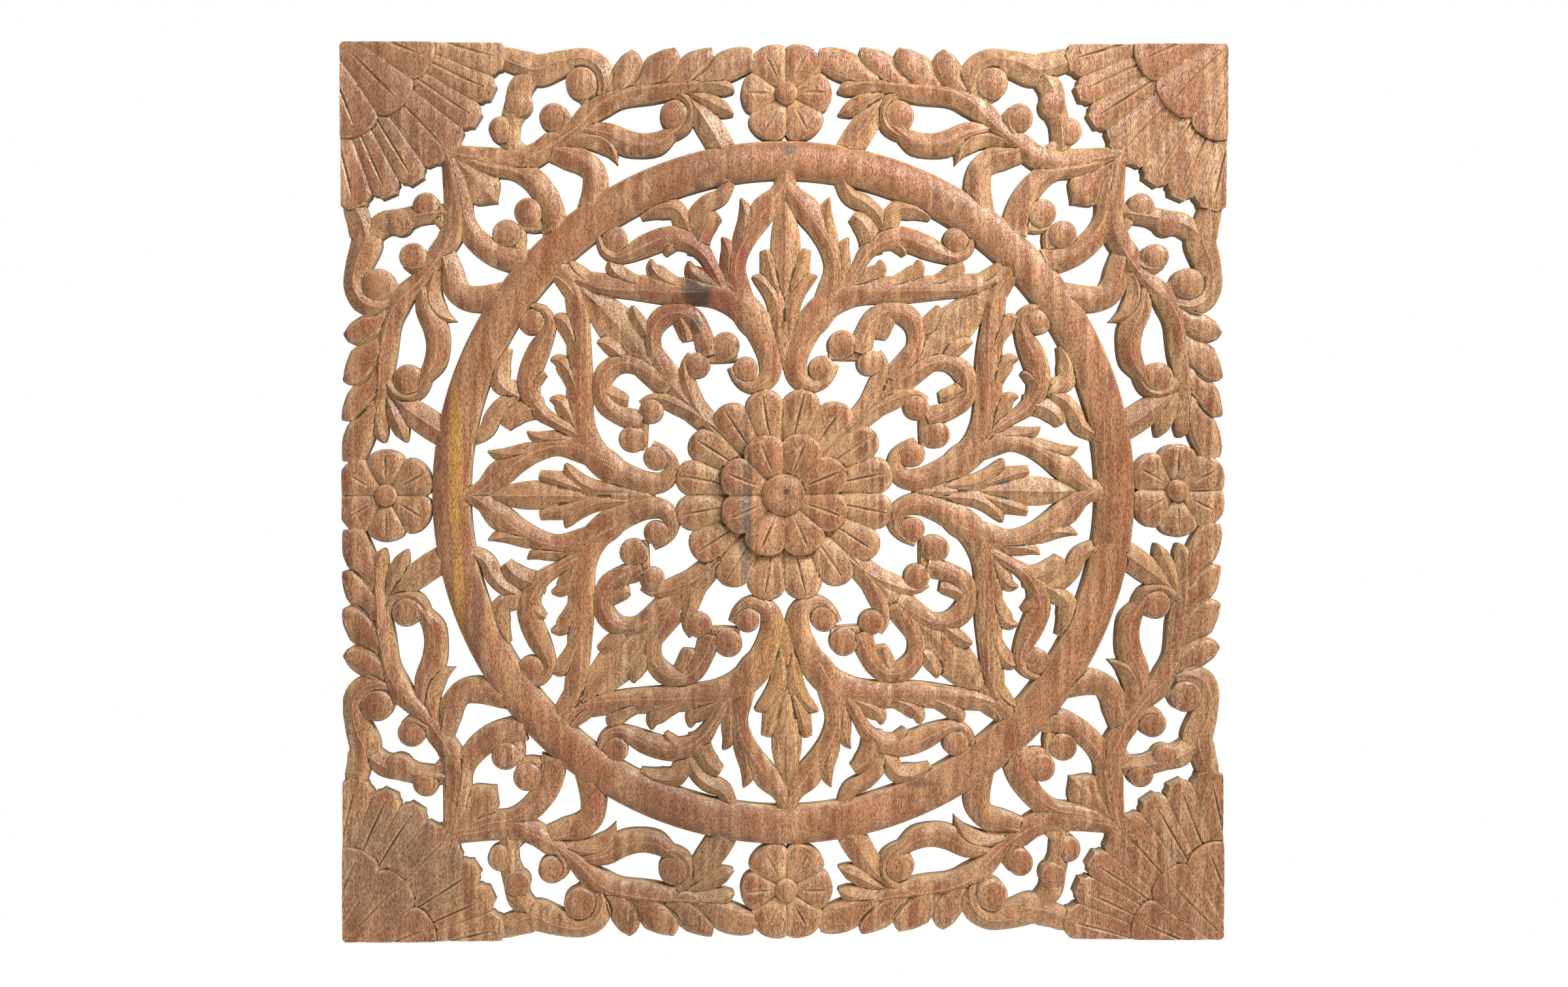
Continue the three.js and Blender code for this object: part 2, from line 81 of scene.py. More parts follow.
# Strokes of the carving in one eighth, from root to tip, in millimetres.
# u runs right from the upright axis, and v runs up from the middle. A station is (u, v, half width to the
# left, half width to the right), where left and right are those of the stroke's own way.
STEMS: dict[str, list[Station]] = {
    "border": [(347, 346, 9, 9), (330, 339, 11, 10), (316, 337, 12, 11), (298, 334, 13, 13),
        (276, 332, 12, 15), (256, 340, 11, 12), (239, 349, 8, 14), (226, 358, 8, 10), (214, 367, 8, 11),
        (202, 379, 9, 13), (190, 391, 13, 10), (172, 400, 13, 6), (140, 406, 15, 4), (102, 409, 10, 4),
        (85, 411, 6, 4)],
    "ring_upper": [(243, 347, 12, 3), (225, 343, 15, 5), (210, 337, 14, 11), (199, 326, 12, 13),
        (196, 310, 13, 14), (201, 279, 14, 12)],
    "ring_lower": [(334, 337, 7, 7), (300, 328, 9, 10), (280, 325, 8, 9), (264, 317, 9, 14),
        (252, 307, 11, 14), (241, 293, 13, 13), (233, 265, 15, 13)],
    "tail": [(208, 366, 7, 5), (185, 362, 10, 11), (165, 353, 13, 12), (148, 350, 11.5, 11.5),
        (132, 352, 11, 11.5), (118, 361, 7, 8), (104, 372, 4, 4)],
    "palmette": [(24, 158, 7, 7), (36, 177, 13, 13), (48, 205, 14, 14), (50, 228, 10.5, 12),
        (45, 248, 11, 10), (34, 266, 11, 12), (20, 284, 12, 15.5), (6, 302, 9, 9.5),
        (0.5, 312, 11, 10.5), (0, 321, 12, 12)],
    "inner": [(54, 130, 3, 6), (48, 119, 4, 8), (38, 110.5, 5, 8), (26, 111, 8.5, 8),
        (15, 120, 10.5, 10), (13, 137, 13, 12), (20, 155, 14, 12), (30, 174, 16, 14), (44, 191, 14, 16),
        (62, 202, 12, 17), (85, 203.5, 15, 13), (125, 205, 15, 12), (165, 206, 16, 8),
        (190, 208, 16, 6), (212, 213, 15, 6), (229, 229, 12, 12)],
    "floral": [(56, 195, 6, 6), (66, 213, 8, 8), (74, 228, 7, 7), (84, 242, 10, 7), (97, 252, 12, 8),
        (112, 257, 13, 11), (128, 256, 12, 12), (145, 249, 12, 11), (160, 242, 9, 8), (174, 239, 7, 6),
        (186, 246, 7, 5), (191, 261, 4, 4)],
    "heart": [(112, 112, 14, 14), (124, 132, 11.5, 12), (133, 150, 9, 9), (133, 167, 10, 10),
        (123, 180, 11, 11), (107, 184, 9, 10), (93, 178, 10, 11), (84, 166, 10, 10), (77, 152, 13, 9),
        (74, 142, 12, 7)],
}

# Scooped leaves.
LEAVES: dict[str, list[Station]] = {
    "crest": [(298, 437, 10, 11), (286, 432, 8.5, 15), (272, 426, 8, 17), (255, 423, 15, 17),
        (238, 430, 16, 12), (221, 434, 14, 10.5), (206, 434, 14, 11), (193, 426, 15, 12),
        (187, 412, 16, 9), (188, 394, 12, 6)],
    "chain": [(284, 338, 8, 8), (282, 355, 9, 10), (280, 372, 9, 11), (275, 390, 13, 12),
        (272, 405, 12, 12), (262, 420, 12, 8)],
    "end_first": [(106, 406, 8, 8), (84, 409, 10, 10), (70, 408, 10, 10), (60, 405, 7, 6.5),
        (53.5, 402.5, 1.5, 1.5)],
    "end_second": [(100, 401, 6, 6), (80, 391.5, 9, 9), (66, 385, 8.5, 8.5), (59, 382, 5, 5),
        (53.5, 380, 1, 1)],
    "end_third": [(98, 394, 9, 9), (82, 372, 13.5, 13.5), (70, 354, 14, 14.5), (62, 340, 14, 14)],
    "hook": [(120, 404, 8, 5), (105, 396, 8, 5), (98, 383, 8, 5), (101, 369, 8, 5), (110, 361, 8, 4),
        (121, 358, 6, 4)],
    "side_tip": [(238, 350, 5, 5), (212, 357, 9, 7), (193, 358, 13, 10), (180, 349, 11, 8),
        (173, 332, 0, 0)],
    "ball_two_stalk": [(241, 352, 8, 9), (229, 364, 8, 8), (226, 376, 6, 6), (231, 385, 4, 4)],
    "corner_leaf": [(346, 346, 6, 6), (322, 322, 14, 14), (306, 306, 18.4, 18.4), (293.5, 293.5, 0, 0)],
    "palmette_first": [(47, 238, 5, 7), (44, 258, 10, 10), (42, 275, 11, 7.5), (43, 288, 7.5, 4),
        (45, 297, 1, 1)],
    "palmette_second": [(58, 208, 6, 8), (57, 228, 9, 9.5), (58, 243, 8, 8), (61.5, 252, 6, 4),
        (65, 258, 1, 1)],
    "spear": [(0, 194, 9, 9), (0, 212, 12, 12), (0, 235, 15, 15), (0, 255, 15, 15),
        (0, 272, 12.3, 12.3), (0, 286, 7, 7), (0, 299, 0, 0)],
    "spear_middle": [(5, 196, 5, 9), (12, 216, 7.5, 12), (17.5, 234, 7.5, 8), (20, 244.5, 3.5, 6)],
    "spear_low": [(6, 150, 9, 5), (6, 172, 10, 8), (9, 192, 11, 9), (17, 206, 12, 8), (27, 215, 7, 5),
        (32.5, 218.5, 1, 1.5)],
    "inner_first": [(58, 206, 6, 6), (74, 211, 9, 10), (88, 218, 11, 10), (96, 227, 8, 7),
        (97, 235.5, 1.5, 2)],
    "inner_second": [(97, 207, 6, 6), (113, 212, 9, 10), (128, 219.5, 11, 10), (135.5, 228.5, 8, 7),
        (136, 237, 1.5, 2)],
    "inner_third": [(138, 208, 6, 6), (154, 213, 9, 10), (169, 220.5, 11, 10), (177, 229.5, 9, 7),
        (177.5, 237, 2, 2)],
    "inner_fourth": [(190, 210, 8, 8), (208, 220, 10, 9), (217, 230, 7, 7), (222, 241, 0, 0)],
    "floral_first": [(102, 264, 8, 8), (92, 283, 8, 8), (80, 293, 9, 9), (66, 301, 9.5, 7),
        (56, 318, 7, 8)],
    "floral_low": [(90, 240, 12, 10), (85, 262, 11, 11), (77, 274, 10, 10), (68, 280, 5.5, 6)],
    "floral_second": [(98, 262, 8, 8), (103, 274, 7, 13), (113, 286, 10, 10), (127, 288, 10, 11),
        (138, 284, 8, 7), (148, 279, 3, 3)],
    "floral_drop": [(110, 256, 8, 8), (118, 247.5, 7, 6), (122, 241, 2.5, 2.5)],
    "heart_tip": [(108, 184, 9, 9), (102, 172, 9, 10), (98.5, 160, 7.5, 9), (98, 155.5, 4.5, 6)],
    "ball_three_stalk": [(64, 60, 8, 9), (76, 75, 10, 12), (88, 94, 11, 14), (95, 110, 10.5, 12),
        (99, 122, 8, 7), (100, 134, 5, 4), (94, 143, 4, 4)],
    "diagonal_lobe": [(136, 158, 9, 9), (146, 172, 8, 11), (152, 182, 6.5, 10), (154.5, 190.5, 1.5, 2)],
}

# Rounded lobes along the top of a side.
LOBES: dict[str, list[Station]] = {
    "top_first": [(104, 406, 5, 5), (82, 415, 9, 11), (60, 426, 14, 17), (44, 431.5, 12.5, 15),
        (33, 433, 10, 11.5)],
    "top_second": [(130, 404, 4, 6), (110, 413, 9, 13), (96, 426, 11, 16), (84, 437, 11.5, 10),
        (79, 442.5, 6, 5), (76.5, 445.5, 1, 1)],
    "top_third": [(160, 402, 5, 6), (144, 410, 10, 13), (131, 423, 13, 19.5), (121, 436, 14, 12),
        (117, 442, 7.5, 6), (115.5, 445.5, 1.5, 1.5)],
    "top_fourth": [(186, 396, 6, 6), (175, 409, 13, 11), (167, 423, 15.5, 12.5),
        (162.5, 434.5, 15, 9.5), (160.5, 440.5, 9, 5.5), (160, 444.5, 1.5, 1.5)],
}

# Lower leaves, which the others lie over.
UNDER_LEAVES: dict[str, list[Station]] = {
    "diagonal": [(56, 56, 9, 9), (72, 72, 12, 12), (92, 92, 15, 15), (130, 130, 18, 18), (163, 163, 22, 22),
        (188, 188, 17, 17), (214, 214, 10, 10)],
    "trunk": [(0, 128, 6, 6), (0, 142, 17, 17), (0, 158, 19, 19), (0, 172, 12, 12)],
}

# Low webs that tie the buttons to the strokes beside them.
SEATS: dict[str, list[Station]] = {
    "ball_one": [(190, 388, 11, 11), (202, 396, 10, 10), (213, 406, 9, 9)],
    "ball_four": [(271, 345, 7, 7), (279, 352, 7, 7), (286, 358, 6, 6)],
    "ball_five": [(272, 272, 6, 8), (257, 272, 8, 8), (242, 275, 8, 8)],
    "ball_web": [(46, 139, 4, 4), (60, 139, 5, 5), (80, 138, 7, 4)],
}

# Buttons of the carving in one eighth, as (u, v, radius, lift above the other buttons).
BALLS: list[Station] = [
    (115, 378.5, 15.5, 0), (210, 410, 16.5, 0.3), (238.5, 376.5, 14, 0), (273, 389.5, 13.5, 1.2),
    (290, 364, 13.3, 0), (262, 283.5, 14.5, 0), (174, 257, 13.5, 0), (38.5, 127, 13, 0), (58.5, 150, 14.5, 0),
    (86.5, 132, 13, 0),
]

# Gouge cuts of the carving in one eighth, as the points that they follow.
CUTS: dict[str, list[Point]] = {
    "top_first": [(69, 440), (75, 433), (82, 425), (92, 416)],
    "top_second": [(106, 437), (110, 428), (118, 418), (132, 409)],
    "top_third": [(147, 437), (150, 428), (154, 418), (162, 407)],
    "top_fourth": [(179, 431), (179, 415), (187, 399)],
    "mitre": [(180, 200), (195, 203), (205, 207), (215, 213)],
}


class Section(Enum):
    """How a stroke is cut across, as (share of the half width, share of the rise from edge to ridge)."""

    RIDGED = ((0.68, 0.50), (0.26, 0.86))
    SCOOPED = ((0.68, 0.34), (0.26, 0.70))
    ROUNDED = ((0.72, 0.66), (0.34, 0.94))


@dataclass(frozen=True)
class Heights:
    """Heights of a stroke above the back of the panel, in millimetres.

    Args:
        edge: height of the edge, where the stroke turns down to the back.
        ridge: height of the ridge along the middle.
        root_drop: how much lower the stroke lies at its root.
        tip_drop: how much lower the stroke lies at its tip.
        drop_share: over which share of the stroke it comes up from its root, and goes down to its tip.
    """

    edge: float
    ridge: float
    root_drop: float = 0.0
    tip_drop: float = 0.0
    drop_share: float = 0.35

    def sunk(self, share: np.ndarray) -> np.ndarray:
        """How much lower the stroke lies, at shares of its way from root to tip."""
        at_root = self.root_drop * np.clip(1 - share / self.drop_share, 0, 1) ** 2
        return at_root + self.tip_drop * np.clip(1 - (1 - share) / self.drop_share, 0, 1) ** 2


@dataclass
class Solid:
    """A closed solid as plain arrays, in the millimetres of the drawing."""

    points: np.ndarray
    faces: list[tuple[int, ...]]

    def mesh(self, name: str) -> Mesh:
        """Makes the mesh in metres, with its faces outwards."""
        mesh = bpy.data.meshes.new(name)
        mesh.from_pydata((self.points * MM).tolist(), [], self.faces)
        mesh.update()
        if signed_volume(mesh) < 0:
            mesh.flip_normals()
        return mesh


def read(rows: Sequence, key: str, width: int = 1, kind: type = np.float32) -> np.ndarray:
    """One property of all the rows of a mesh's data, with so many numbers for each row."""
    flat = np.empty(len(rows) * width, kind)
    rows.foreach_get(key, flat)
    return flat if width == 1 else flat.reshape(-1, width)


def vertex_array(mesh: Mesh) -> np.ndarray:
    """The vertices of a mesh as rows of x, y and z."""
    return read(mesh.vertices, "co", 3).astype(np.float64)


def signed_volume(mesh: Mesh) -> float:
    """Volume that the faces of a mesh enclose, negative where they look inwards."""
    points = vertex_array(mesh)
    mesh.calc_loop_triangles()
    a, b, c = (points[corner] for corner in read(mesh.loop_triangles, "vertices", 3, np.int64).T)
    return float(np.einsum("ij,ij->i", a, np.cross(b, c)).sum() / 6)


def drawn(u: np.ndarray, v: np.ndarray, height: np.ndarray) -> np.ndarray:
    """Points of the drawing, at heights above the back, in the frame of the panel."""
    return np.stack([u, -np.asarray(height), v], -1)


def skin(rings: np.ndarray) -> Solid:
    """Skins a row of closed sections and caps both ends.

    Args:
        rings: sections, then the points round each section, then x, y and z.

    Returns:
        The closed solid.
    """
    count, around = rings.shape[:2]
    faces = []
    for i in range(count - 1):
        for j in range(around):
            a, b = i * around + j, i * around + (j + 1) % around
            faces.append((a, b, b + around, a + around))
    faces.append(tuple(range(around))[::-1])
    faces.append(tuple(range((count - 1) * around, count * around)))
    return Solid(rings.reshape(-1, 3), faces)


def turned(profile: Sequence[Point], sides: int, centre: Point = (0.0, 0.0)) -> Solid:
    """Turns a profile about an axis square to the back.

    Args:
        profile: (distance from the axis, height above the back) from the foot on the axis to the top on it.
        sides: how many sides the turned shape has.
        centre: where the axis stands in the drawing.

    Returns:
        The closed solid, with one point at either end.
    """
    turns = np.arange(sides) * 2 * math.pi / sides
    inner = profile[1:-1]
    u, v = centre
    rows = [drawn(u + r * np.cos(turns), v + r * np.sin(turns), np.full(sides, h)) for r, h in inner]
    ends = [drawn(np.array([u]), np.array([v]), np.array([h])) for _, h in (profile[0], profile[-1])]
    foot, top = len(inner) * sides, len(inner) * sides + 1
    faces: list[tuple[int, ...]] = []
    for j in range(sides):
        k = (j + 1) % sides
        faces.append((foot, j, k))
        for row in range(len(inner) - 1):
            a, b = row * sides, (row + 1) * sides
            faces.append((a + j, b + j, b + k, a + k))
        last = (len(inner) - 1) * sides
        faces.append((top, last + k, last + j))
    return Solid(np.concatenate(rows + ends), faces)


class Spline:
    """A smooth curve through points, without loops between them, run from 0 at its first to 1 at its last."""

    SHORTEST = 1e-4

    def __init__(self, points: Sequence[Sequence[float]]) -> None:
        """Takes the points, and adds one before and after them so that the ends run straight."""
        rows = np.array(points, float)
        self.points = np.vstack([2 * rows[0] - rows[1], rows, 2 * rows[-1] - rows[-2]])

    def at(self, share: np.ndarray) -> tuple[np.ndarray, np.ndarray]:
        """Places and directions on the curve.

        Args:
            share: how far along each is, from 0 to 1.

        Returns:
            The places, and the directions as derivatives within each span.
        """
        spans = len(self.points) - 3
        where = np.clip(share, 0, 1) * spans
        span = np.minimum(where.astype(int), spans - 1)
        t = (where - span)[:, None]
        p = [self.points[span + k] for k in range(4)]
        spacing = [np.sqrt(np.linalg.norm(p[k + 1] - p[k], axis=1)) for k in range(3)]
        knots = [np.maximum(one, self.SHORTEST)[:, None] for one in spacing]
        start = self.slope(p[0], p[1], p[2], knots[0], knots[1]) * knots[1]
        end = self.slope(p[1], p[2], p[3], knots[1], knots[2]) * knots[1]
        square = -3 * p[1] + 3 * p[2] - 2 * start - end
        cube = 2 * p[1] - 2 * p[2] + start + end
        return p[1] + t * (start + t * (square + t * cube)), start + t * (2 * square + t * 3 * cube)

    def slope(self, a: np.ndarray, b: np.ndarray, c: np.ndarray, first: np.ndarray,
              second: np.ndarray) -> np.ndarray:
        """Direction of the curve at b, between its neighbours a and c and their distances in knots."""
        return (b - a) / first - (c - a) / (first + second) + (c - b) / second


@dataclass
class Stroke:
    """One stroke of the carving: a ribbon with upright sides and a ridge.

    Args:
        stations: (u, v, width to the left, width to the right) from root to tip, in millimetres.
        heights: heights of the edge and the ridge.
        section: how the stroke is cut across.
        pace: distance from one section to the next, in millimetres.
    """

    stations: Sequence[Station]
    heights: Heights
    section: Section = Section.SCOOPED
    pace: float = 12.0

    # The half width of a pointed tip. How many times narrower than at its widest a stroke is where its ridge
    # starts to sink. The rounding of its edges: a share of the half width, up to a limit.
    TIP_WIDTH = 0.5
    RIDGE_HOLD = 1.6
    WORN = 0.9
    WORN_SHARE = 0.3
    # The inner side of a bend may be this share of its radius wide, and the least bend that is reckoned with.
    TIGHTEST = 0.92
    STRAIGHTEST = 1e-4
    # One section follows another after this much turn or change of half width, measured at so many places.
    TURN = math.radians(20)
    CHANGE = 4.5
    TRIALS = 400

    def solid(self) -> Solid:
        """The closed solid of the stroke."""
        line = Spline([s[:2] for s in self.stations])
        widths = Spline([(*s[2:], i) for i, s in enumerate(self.stations)])
        share = self.sections(line, widths)
        middle, along = line.at(share)
        along /= np.linalg.norm(along, axis=1)[:, None] + TINY
        sides = np.maximum(widths.at(share)[0][:, :2], self.TIP_WIDTH)
        sides = self.eased(middle, along, sides)
        widest = max(s[2] + s[3] for s in self.stations)
        hold = np.minimum(1, self.RIDGE_HOLD * sides.sum(1) / widest)
        edge = self.heights.edge - self.heights.sunk(share)
        crest = edge + (self.heights.ridge - self.heights.edge) * hold
        return skin(self.rings(middle, along, sides, edge, crest))

    def sections(self, line: Spline, widths: Spline) -> np.ndarray:
        """How far along each section stands: closer together where the stroke bends or changes its width."""
        trial = np.linspace(0, 1, self.TRIALS)
        middle, along = line.at(trial)
        reach = np.linalg.norm(np.diff(middle, axis=0), axis=1)
        turn = np.abs(np.diff(np.unwrap(np.arctan2(along[:, 1], along[:, 0]))))
        change = np.abs(np.diff(widths.at(trial)[0][:, :2], axis=0)).max(1)
        need = np.concatenate([[0], np.cumsum(reach / self.pace + turn / self.TURN + change / self.CHANGE)])
        count = max(3, math.ceil(need[-1]))
        return np.interp(np.linspace(0, need[-1], count + 1), need, trial)

    def eased(self, middle: np.ndarray, along: np.ndarray, sides: np.ndarray) -> np.ndarray:
        """Half widths, held below the radius of the bend on its inner side."""
        turn = np.gradient(np.unwrap(np.arctan2(along[:, 1], along[:, 0])))
        step = np.linalg.norm(np.gradient(middle, axis=0), axis=1) + 1e-6
        bend = turn / step
        limit = self.TIGHTEST / np.maximum(np.abs(bend), self.STRAIGHTEST)
        left = np.where(bend > 0, np.minimum(sides[:, 0], limit), sides[:, 0])
        right = np.where(bend < 0, np.minimum(sides[:, 1], limit), sides[:, 1])
        return np.stack([left, right], -1)

    def rings(self, middle: np.ndarray, along: np.ndarray, sides: np.ndarray, edge: np.ndarray,
              crest: np.ndarray) -> np.ndarray:
        """The sections of the stroke, from its left foot over the ridge to its right foot."""
        left, right = sides.T
        rise = crest - edge
        worn = np.minimum(self.WORN, self.WORN_SHARE * sides)
        across = [left, left, left - worn[:, 0]]
        up = [0 * edge, edge - worn[:, 0], edge]
        for width, lift in self.section.value:
            across.append(left * width)
            up.append(edge + rise * lift)
        across.append(0 * left)
        up.append(crest)
        for width, lift in reversed(self.section.value):
            across.append(-right * width)
            up.append(edge + rise * lift)
        across += [worn[:, 1] - right, -right, -right]
        up += [edge, edge - worn[:, 1], 0 * edge]
        offsets = np.stack(across, 1)
        u = middle[:, :1] - along[:, 1:] * offsets
        v = middle[:, 1:] + along[:, :1] * offsets
        return drawn(u, v, np.stack(up, 1))


@dataclass(frozen=True)
class Gouge:
    """One cut of a V gouge, which runs out to nothing at both ends.

    Args:
        path: (u, v) points that the cut follows.
        levels: heights of the surface that it is cut into, in millimetres, at even steps along it.
        half_width: half its width at that level.
        deep: depth for each millimetre of half width.
        full_at: share of the way where it is widest.
    """

    path: Sequence[Point]
    levels: Sequence[float]
    half_width: float = 1.5
    deep: float = 0.72
    full_at: float = 0.5

    # The step along a cut, a height clear above the panel, and the share of the width left at both ends.
    PACE = 3.0
    TOP = 30.0
    RUN_OUT = 0.12

    def solid(self) -> Solid:
        """The wedge that the cut takes out."""
        points = np.array(self.path, float)
        reach = float(np.linalg.norm(np.diff(points, axis=0), axis=1).sum())
        count = max(4, round(reach / self.PACE))
        share = np.linspace(0, 1, count + 1)
        middle, along = Spline(self.path).at(share)
        along /= np.linalg.norm(along, axis=1)[:, None] + TINY
        swell = np.interp(share, [0, self.full_at, 1], [self.RUN_OUT, 1, self.RUN_OUT])
        half = self.half_width * np.sin(swell * math.pi / 2)
        level = np.interp(share, np.linspace(0, 1, len(self.levels)), self.levels)
        bottom = level - self.deep * half
        wide = half + (self.TOP - level) / self.deep
        offsets = np.stack([wide, 0 * wide, -wide], 1)
        up = np.stack([np.full_like(wide, self.TOP), bottom, np.full_like(wide, self.TOP)], 1)
        return skin(drawn(middle[:, :1] - along[:, 1:] * offsets, middle[:, 1:] + along[:, :1] * offsets, up))


class NodeMaker:
    """Builds a tree of nodes, node by node."""

    def __init__(self, tree: Tree) -> None:
        """Takes the tree to build in."""
        self.tree = tree

    def node(self, kind: str, inputs: dict[int | str, object] | None = None, **settings: object) -> Node:
        """Adds a node.

        Args:
            kind: type of the node.
            inputs: value or output socket for each input, or a list of sockets where one takes several.
            settings: its other settings.

        Returns:
            The node.
        """
        made = self.tree.nodes.new(kind)
        for key, value in settings.items():
            setattr(made, key, value)
        for key, value in (inputs or {}).items():
            for one in value if isinstance(value, list) else [value]:
                if isinstance(one, Socket):
                    self.tree.links.new(one, made.inputs[key])
                else:
                    made.inputs[key].default_value = one
        return made


class TreeMaker(NodeMaker):
    """Builds a Geometry Nodes tree that takes a mesh and gives one."""

    def __init__(self, name: str, inputs: dict[str, str]) -> None:
        """Starts the tree.

        Args:
            name: name of the tree.
            inputs: socket type of each named input besides the mesh.
        """
        super().__init__(bpy.data.node_groups.new(name, "GeometryNodeTree"))
        face = self.tree.interface
        face.new_socket("Mesh", in_out="INPUT", socket_type="NodeSocketGeometry")
        self.sockets = {
            key: face.new_socket(key, in_out="INPUT", socket_type=kind).identifier
            for key, kind in inputs.items()
        }
        face.new_socket("Mesh", in_out="OUTPUT", socket_type="NodeSocketGeometry")
        self.start = self.node("NodeGroupInput").outputs

    def finish(self, shape: Socket, material: Material) -> None:
        """Ends the tree: real geometry in the given material."""
        real = self.node("GeometryNodeRealizeInstances", {0: shape})
        dressed = self.node("GeometryNodeSetMaterial", {"Geometry": real.outputs[0], "Material": material})
        self.node("NodeGroupOutput", {0: dressed.outputs[0]})


class Bench:
    """The bench that solids are joined, repeated and cut on, each time by a Geometry Nodes tree."""

    def __init__(self, wood: Material) -> None:
        """Builds the bench's trees, which leave their results in one wood."""
        self.join = self.parts_tree("join_parts", "UNION", wood)
        self.cut = self.parts_tree("cut_parts", "DIFFERENCE", wood)
        self.keep = self.parts_tree("keep_inside", "INTERSECT", wood)
        self.wheel = self.wheel_tree(wood)
        self.eightfold = self.eightfold_tree(wood)
        self.sweep = self.sweep_tree(wood)

    def parts_tree(self, name: str, operation: str, wood: Material) -> TreeMaker:
        """A tree that joins a mesh with a collection of parts, cuts them out, or keeps what lies in them."""
        maker = TreeMaker(name, {"Parts": "NodeSocketCollection"})
        parts = maker.node("GeometryNodeCollectionInfo", {0: maker.start["Parts"], 1: True}).outputs[0]
        mesh = maker.start["Mesh"]
        inputs = {"Mesh 1": mesh, "Mesh 2": parts} if operation == "DIFFERENCE" else {"Mesh": [mesh, parts]}
        whole = maker.node("GeometryNodeMeshBoolean", inputs, operation=operation, solver="MANIFOLD")
        maker.finish(whole.outputs["Mesh"], wood)
        return maker

    def turned_copies(self, maker: TreeMaker, shape: Socket, copies: Socket,
                      first: Socket | float = 0.0) -> Socket:
        """Instances of a shape, spaced evenly round the axis that is square to the back.

        Args:
            maker: the tree.
            shape: the shape as it stands at no turn.
            copies: how many there are.
            first: angle of the first, in radians.

        Returns:
            The instances.
        """
        points = maker.node("GeometryNodeMeshLine", {"Count": copies, "Offset": (0, 0, 0)})
        index = maker.node("GeometryNodeInputIndex")
        pitch = maker.node("ShaderNodeMath", {0: math.tau, 1: copies}, operation="DIVIDE")
        turn = maker.node("ShaderNodeMath", {0: index.outputs[0], 1: pitch.outputs[0], 2: first},
                          operation="MULTIPLY_ADD")
        about = maker.node("ShaderNodeCombineXYZ", {1: turn.outputs[0]})
        rotation = maker.node("FunctionNodeEulerToRotation", {0: about.outputs[0]})
        copied = maker.node("GeometryNodeInstanceOnPoints",
                            {"Points": points.outputs[0], "Instance": shape, "Rotation": rotation.outputs[0]})
        return copied.outputs[0]

    def wheel_tree(self, wood: Material) -> TreeMaker:
        """A tree that repeats a petal or a cut evenly round the middle, joined or left as it is."""
        maker = TreeMaker("wheel", {"Copies": "NodeSocketInt", "First turn": "NodeSocketFloat"})
        mesh, count, first = (maker.start[key] for key in ("Mesh", "Copies", "First turn"))
        copies = self.turned_copies(maker, mesh, count, first)
        whole = maker.node("GeometryNodeMeshBoolean", {"Mesh": copies}, operation="UNION", solver="MANIFOLD")
        maker.finish(whole.outputs["Mesh"], wood)
        return maker

    def eightfold_tree(self, wood: Material) -> TreeMaker:
        """A tree that repeats one eighth and its mirror image round the middle and joins them."""
        maker = TreeMaker("eightfold", {"Quarters": "NodeSocketInt"})
        mirror = maker.node("GeometryNodeTransform", {"Geometry": maker.start["Mesh"], "Scale": (-1, 1, 1)})
        outwards = maker.node("GeometryNodeFlipFaces", {0: mirror.outputs[0]})
        copies = [
            self.turned_copies(maker, half, maker.start["Quarters"])
            for half in (maker.start["Mesh"], outwards.outputs[0])
        ]
        whole = maker.node("GeometryNodeMeshBoolean", {"Mesh": copies}, operation="UNION", solver="MANIFOLD")
        maker.finish(whole.outputs["Mesh"], wood)
        return maker

    def sweep_tree(self, wood: Material) -> TreeMaker:
        """A tree that sweeps an outline, given as edges, round a circle about the middle."""
        maker = TreeMaker("round_moulding", {"Radius": "NodeSocketFloat", "Sides": "NodeSocketInt"})
        circle = maker.node("GeometryNodeCurvePrimitiveCircle",
                            {"Resolution": maker.start["Sides"], "Radius": maker.start["Radius"]})
        section = maker.node("GeometryNodeMeshToCurve", {0: maker.start["Mesh"]})
        ring = maker.node("GeometryNodeCurveToMesh",
                          {"Curve": circle.outputs[0], "Profile Curve": section.outputs[0]})
        upright = maker.node("GeometryNodeTransform",
                             {"Geometry": ring.outputs[0], "Rotation": (-math.pi / 2, 0, 0)})
        maker.finish(upright.outputs[0], wood)
        return maker

    def run(self, maker: TreeMaker, mesh: Mesh, values: dict[str, object]) -> Mesh:
        """Runs a tree on a mesh.

        Args:
            maker: the tree.
            mesh: what it starts from, which is used up.
            values: value of each named input.

        Returns:
            The resulting mesh.
        """
        piece = bpy.data.objects.new("on_the_bench", mesh)
        bpy.context.scene.collection.objects.link(piece)
        modifier = piece.modifiers.new("bench", "NODES")
        modifier.node_group = maker.tree
        for key, value in values.items():
            modifier[maker.sockets[key]] = value
        ready = piece.evaluated_get(bpy.context.evaluated_depsgraph_get())
        result = bpy.data.meshes.new_from_object(ready)
        result.name = mesh.name
        bpy.data.objects.remove(piece)
        bpy.data.meshes.remove(mesh)
        return result

    def with_parts(self, maker: TreeMaker, mesh: Mesh, parts: Sequence[Mesh]) -> Mesh:
        """Runs a tree that takes a collection of parts, and clears the parts away.

        Args:
            maker: the tree.
            mesh: what it starts from, which is used up.
            parts: the parts, which are used up.

        Returns:
            The resulting mesh.
        """
        shelf = bpy.data.collections.new("shelf")
        bpy.context.scene.collection.children.link(shelf)
        for part in parts:
            shelf.objects.link(bpy.data.objects.new(part.name, part))
        result = self.run(maker, mesh, {"Parts": shelf})
        for part in parts:
            bpy.data.meshes.remove(part)
        for piece in list(shelf.objects):
            bpy.data.objects.remove(piece)
        bpy.data.collections.remove(shelf)
        return result

    def joined(self, parts: Sequence[Mesh]) -> Mesh:
        """The parts as one solid."""
        return self.with_parts(self.join, parts[0], parts[1:])

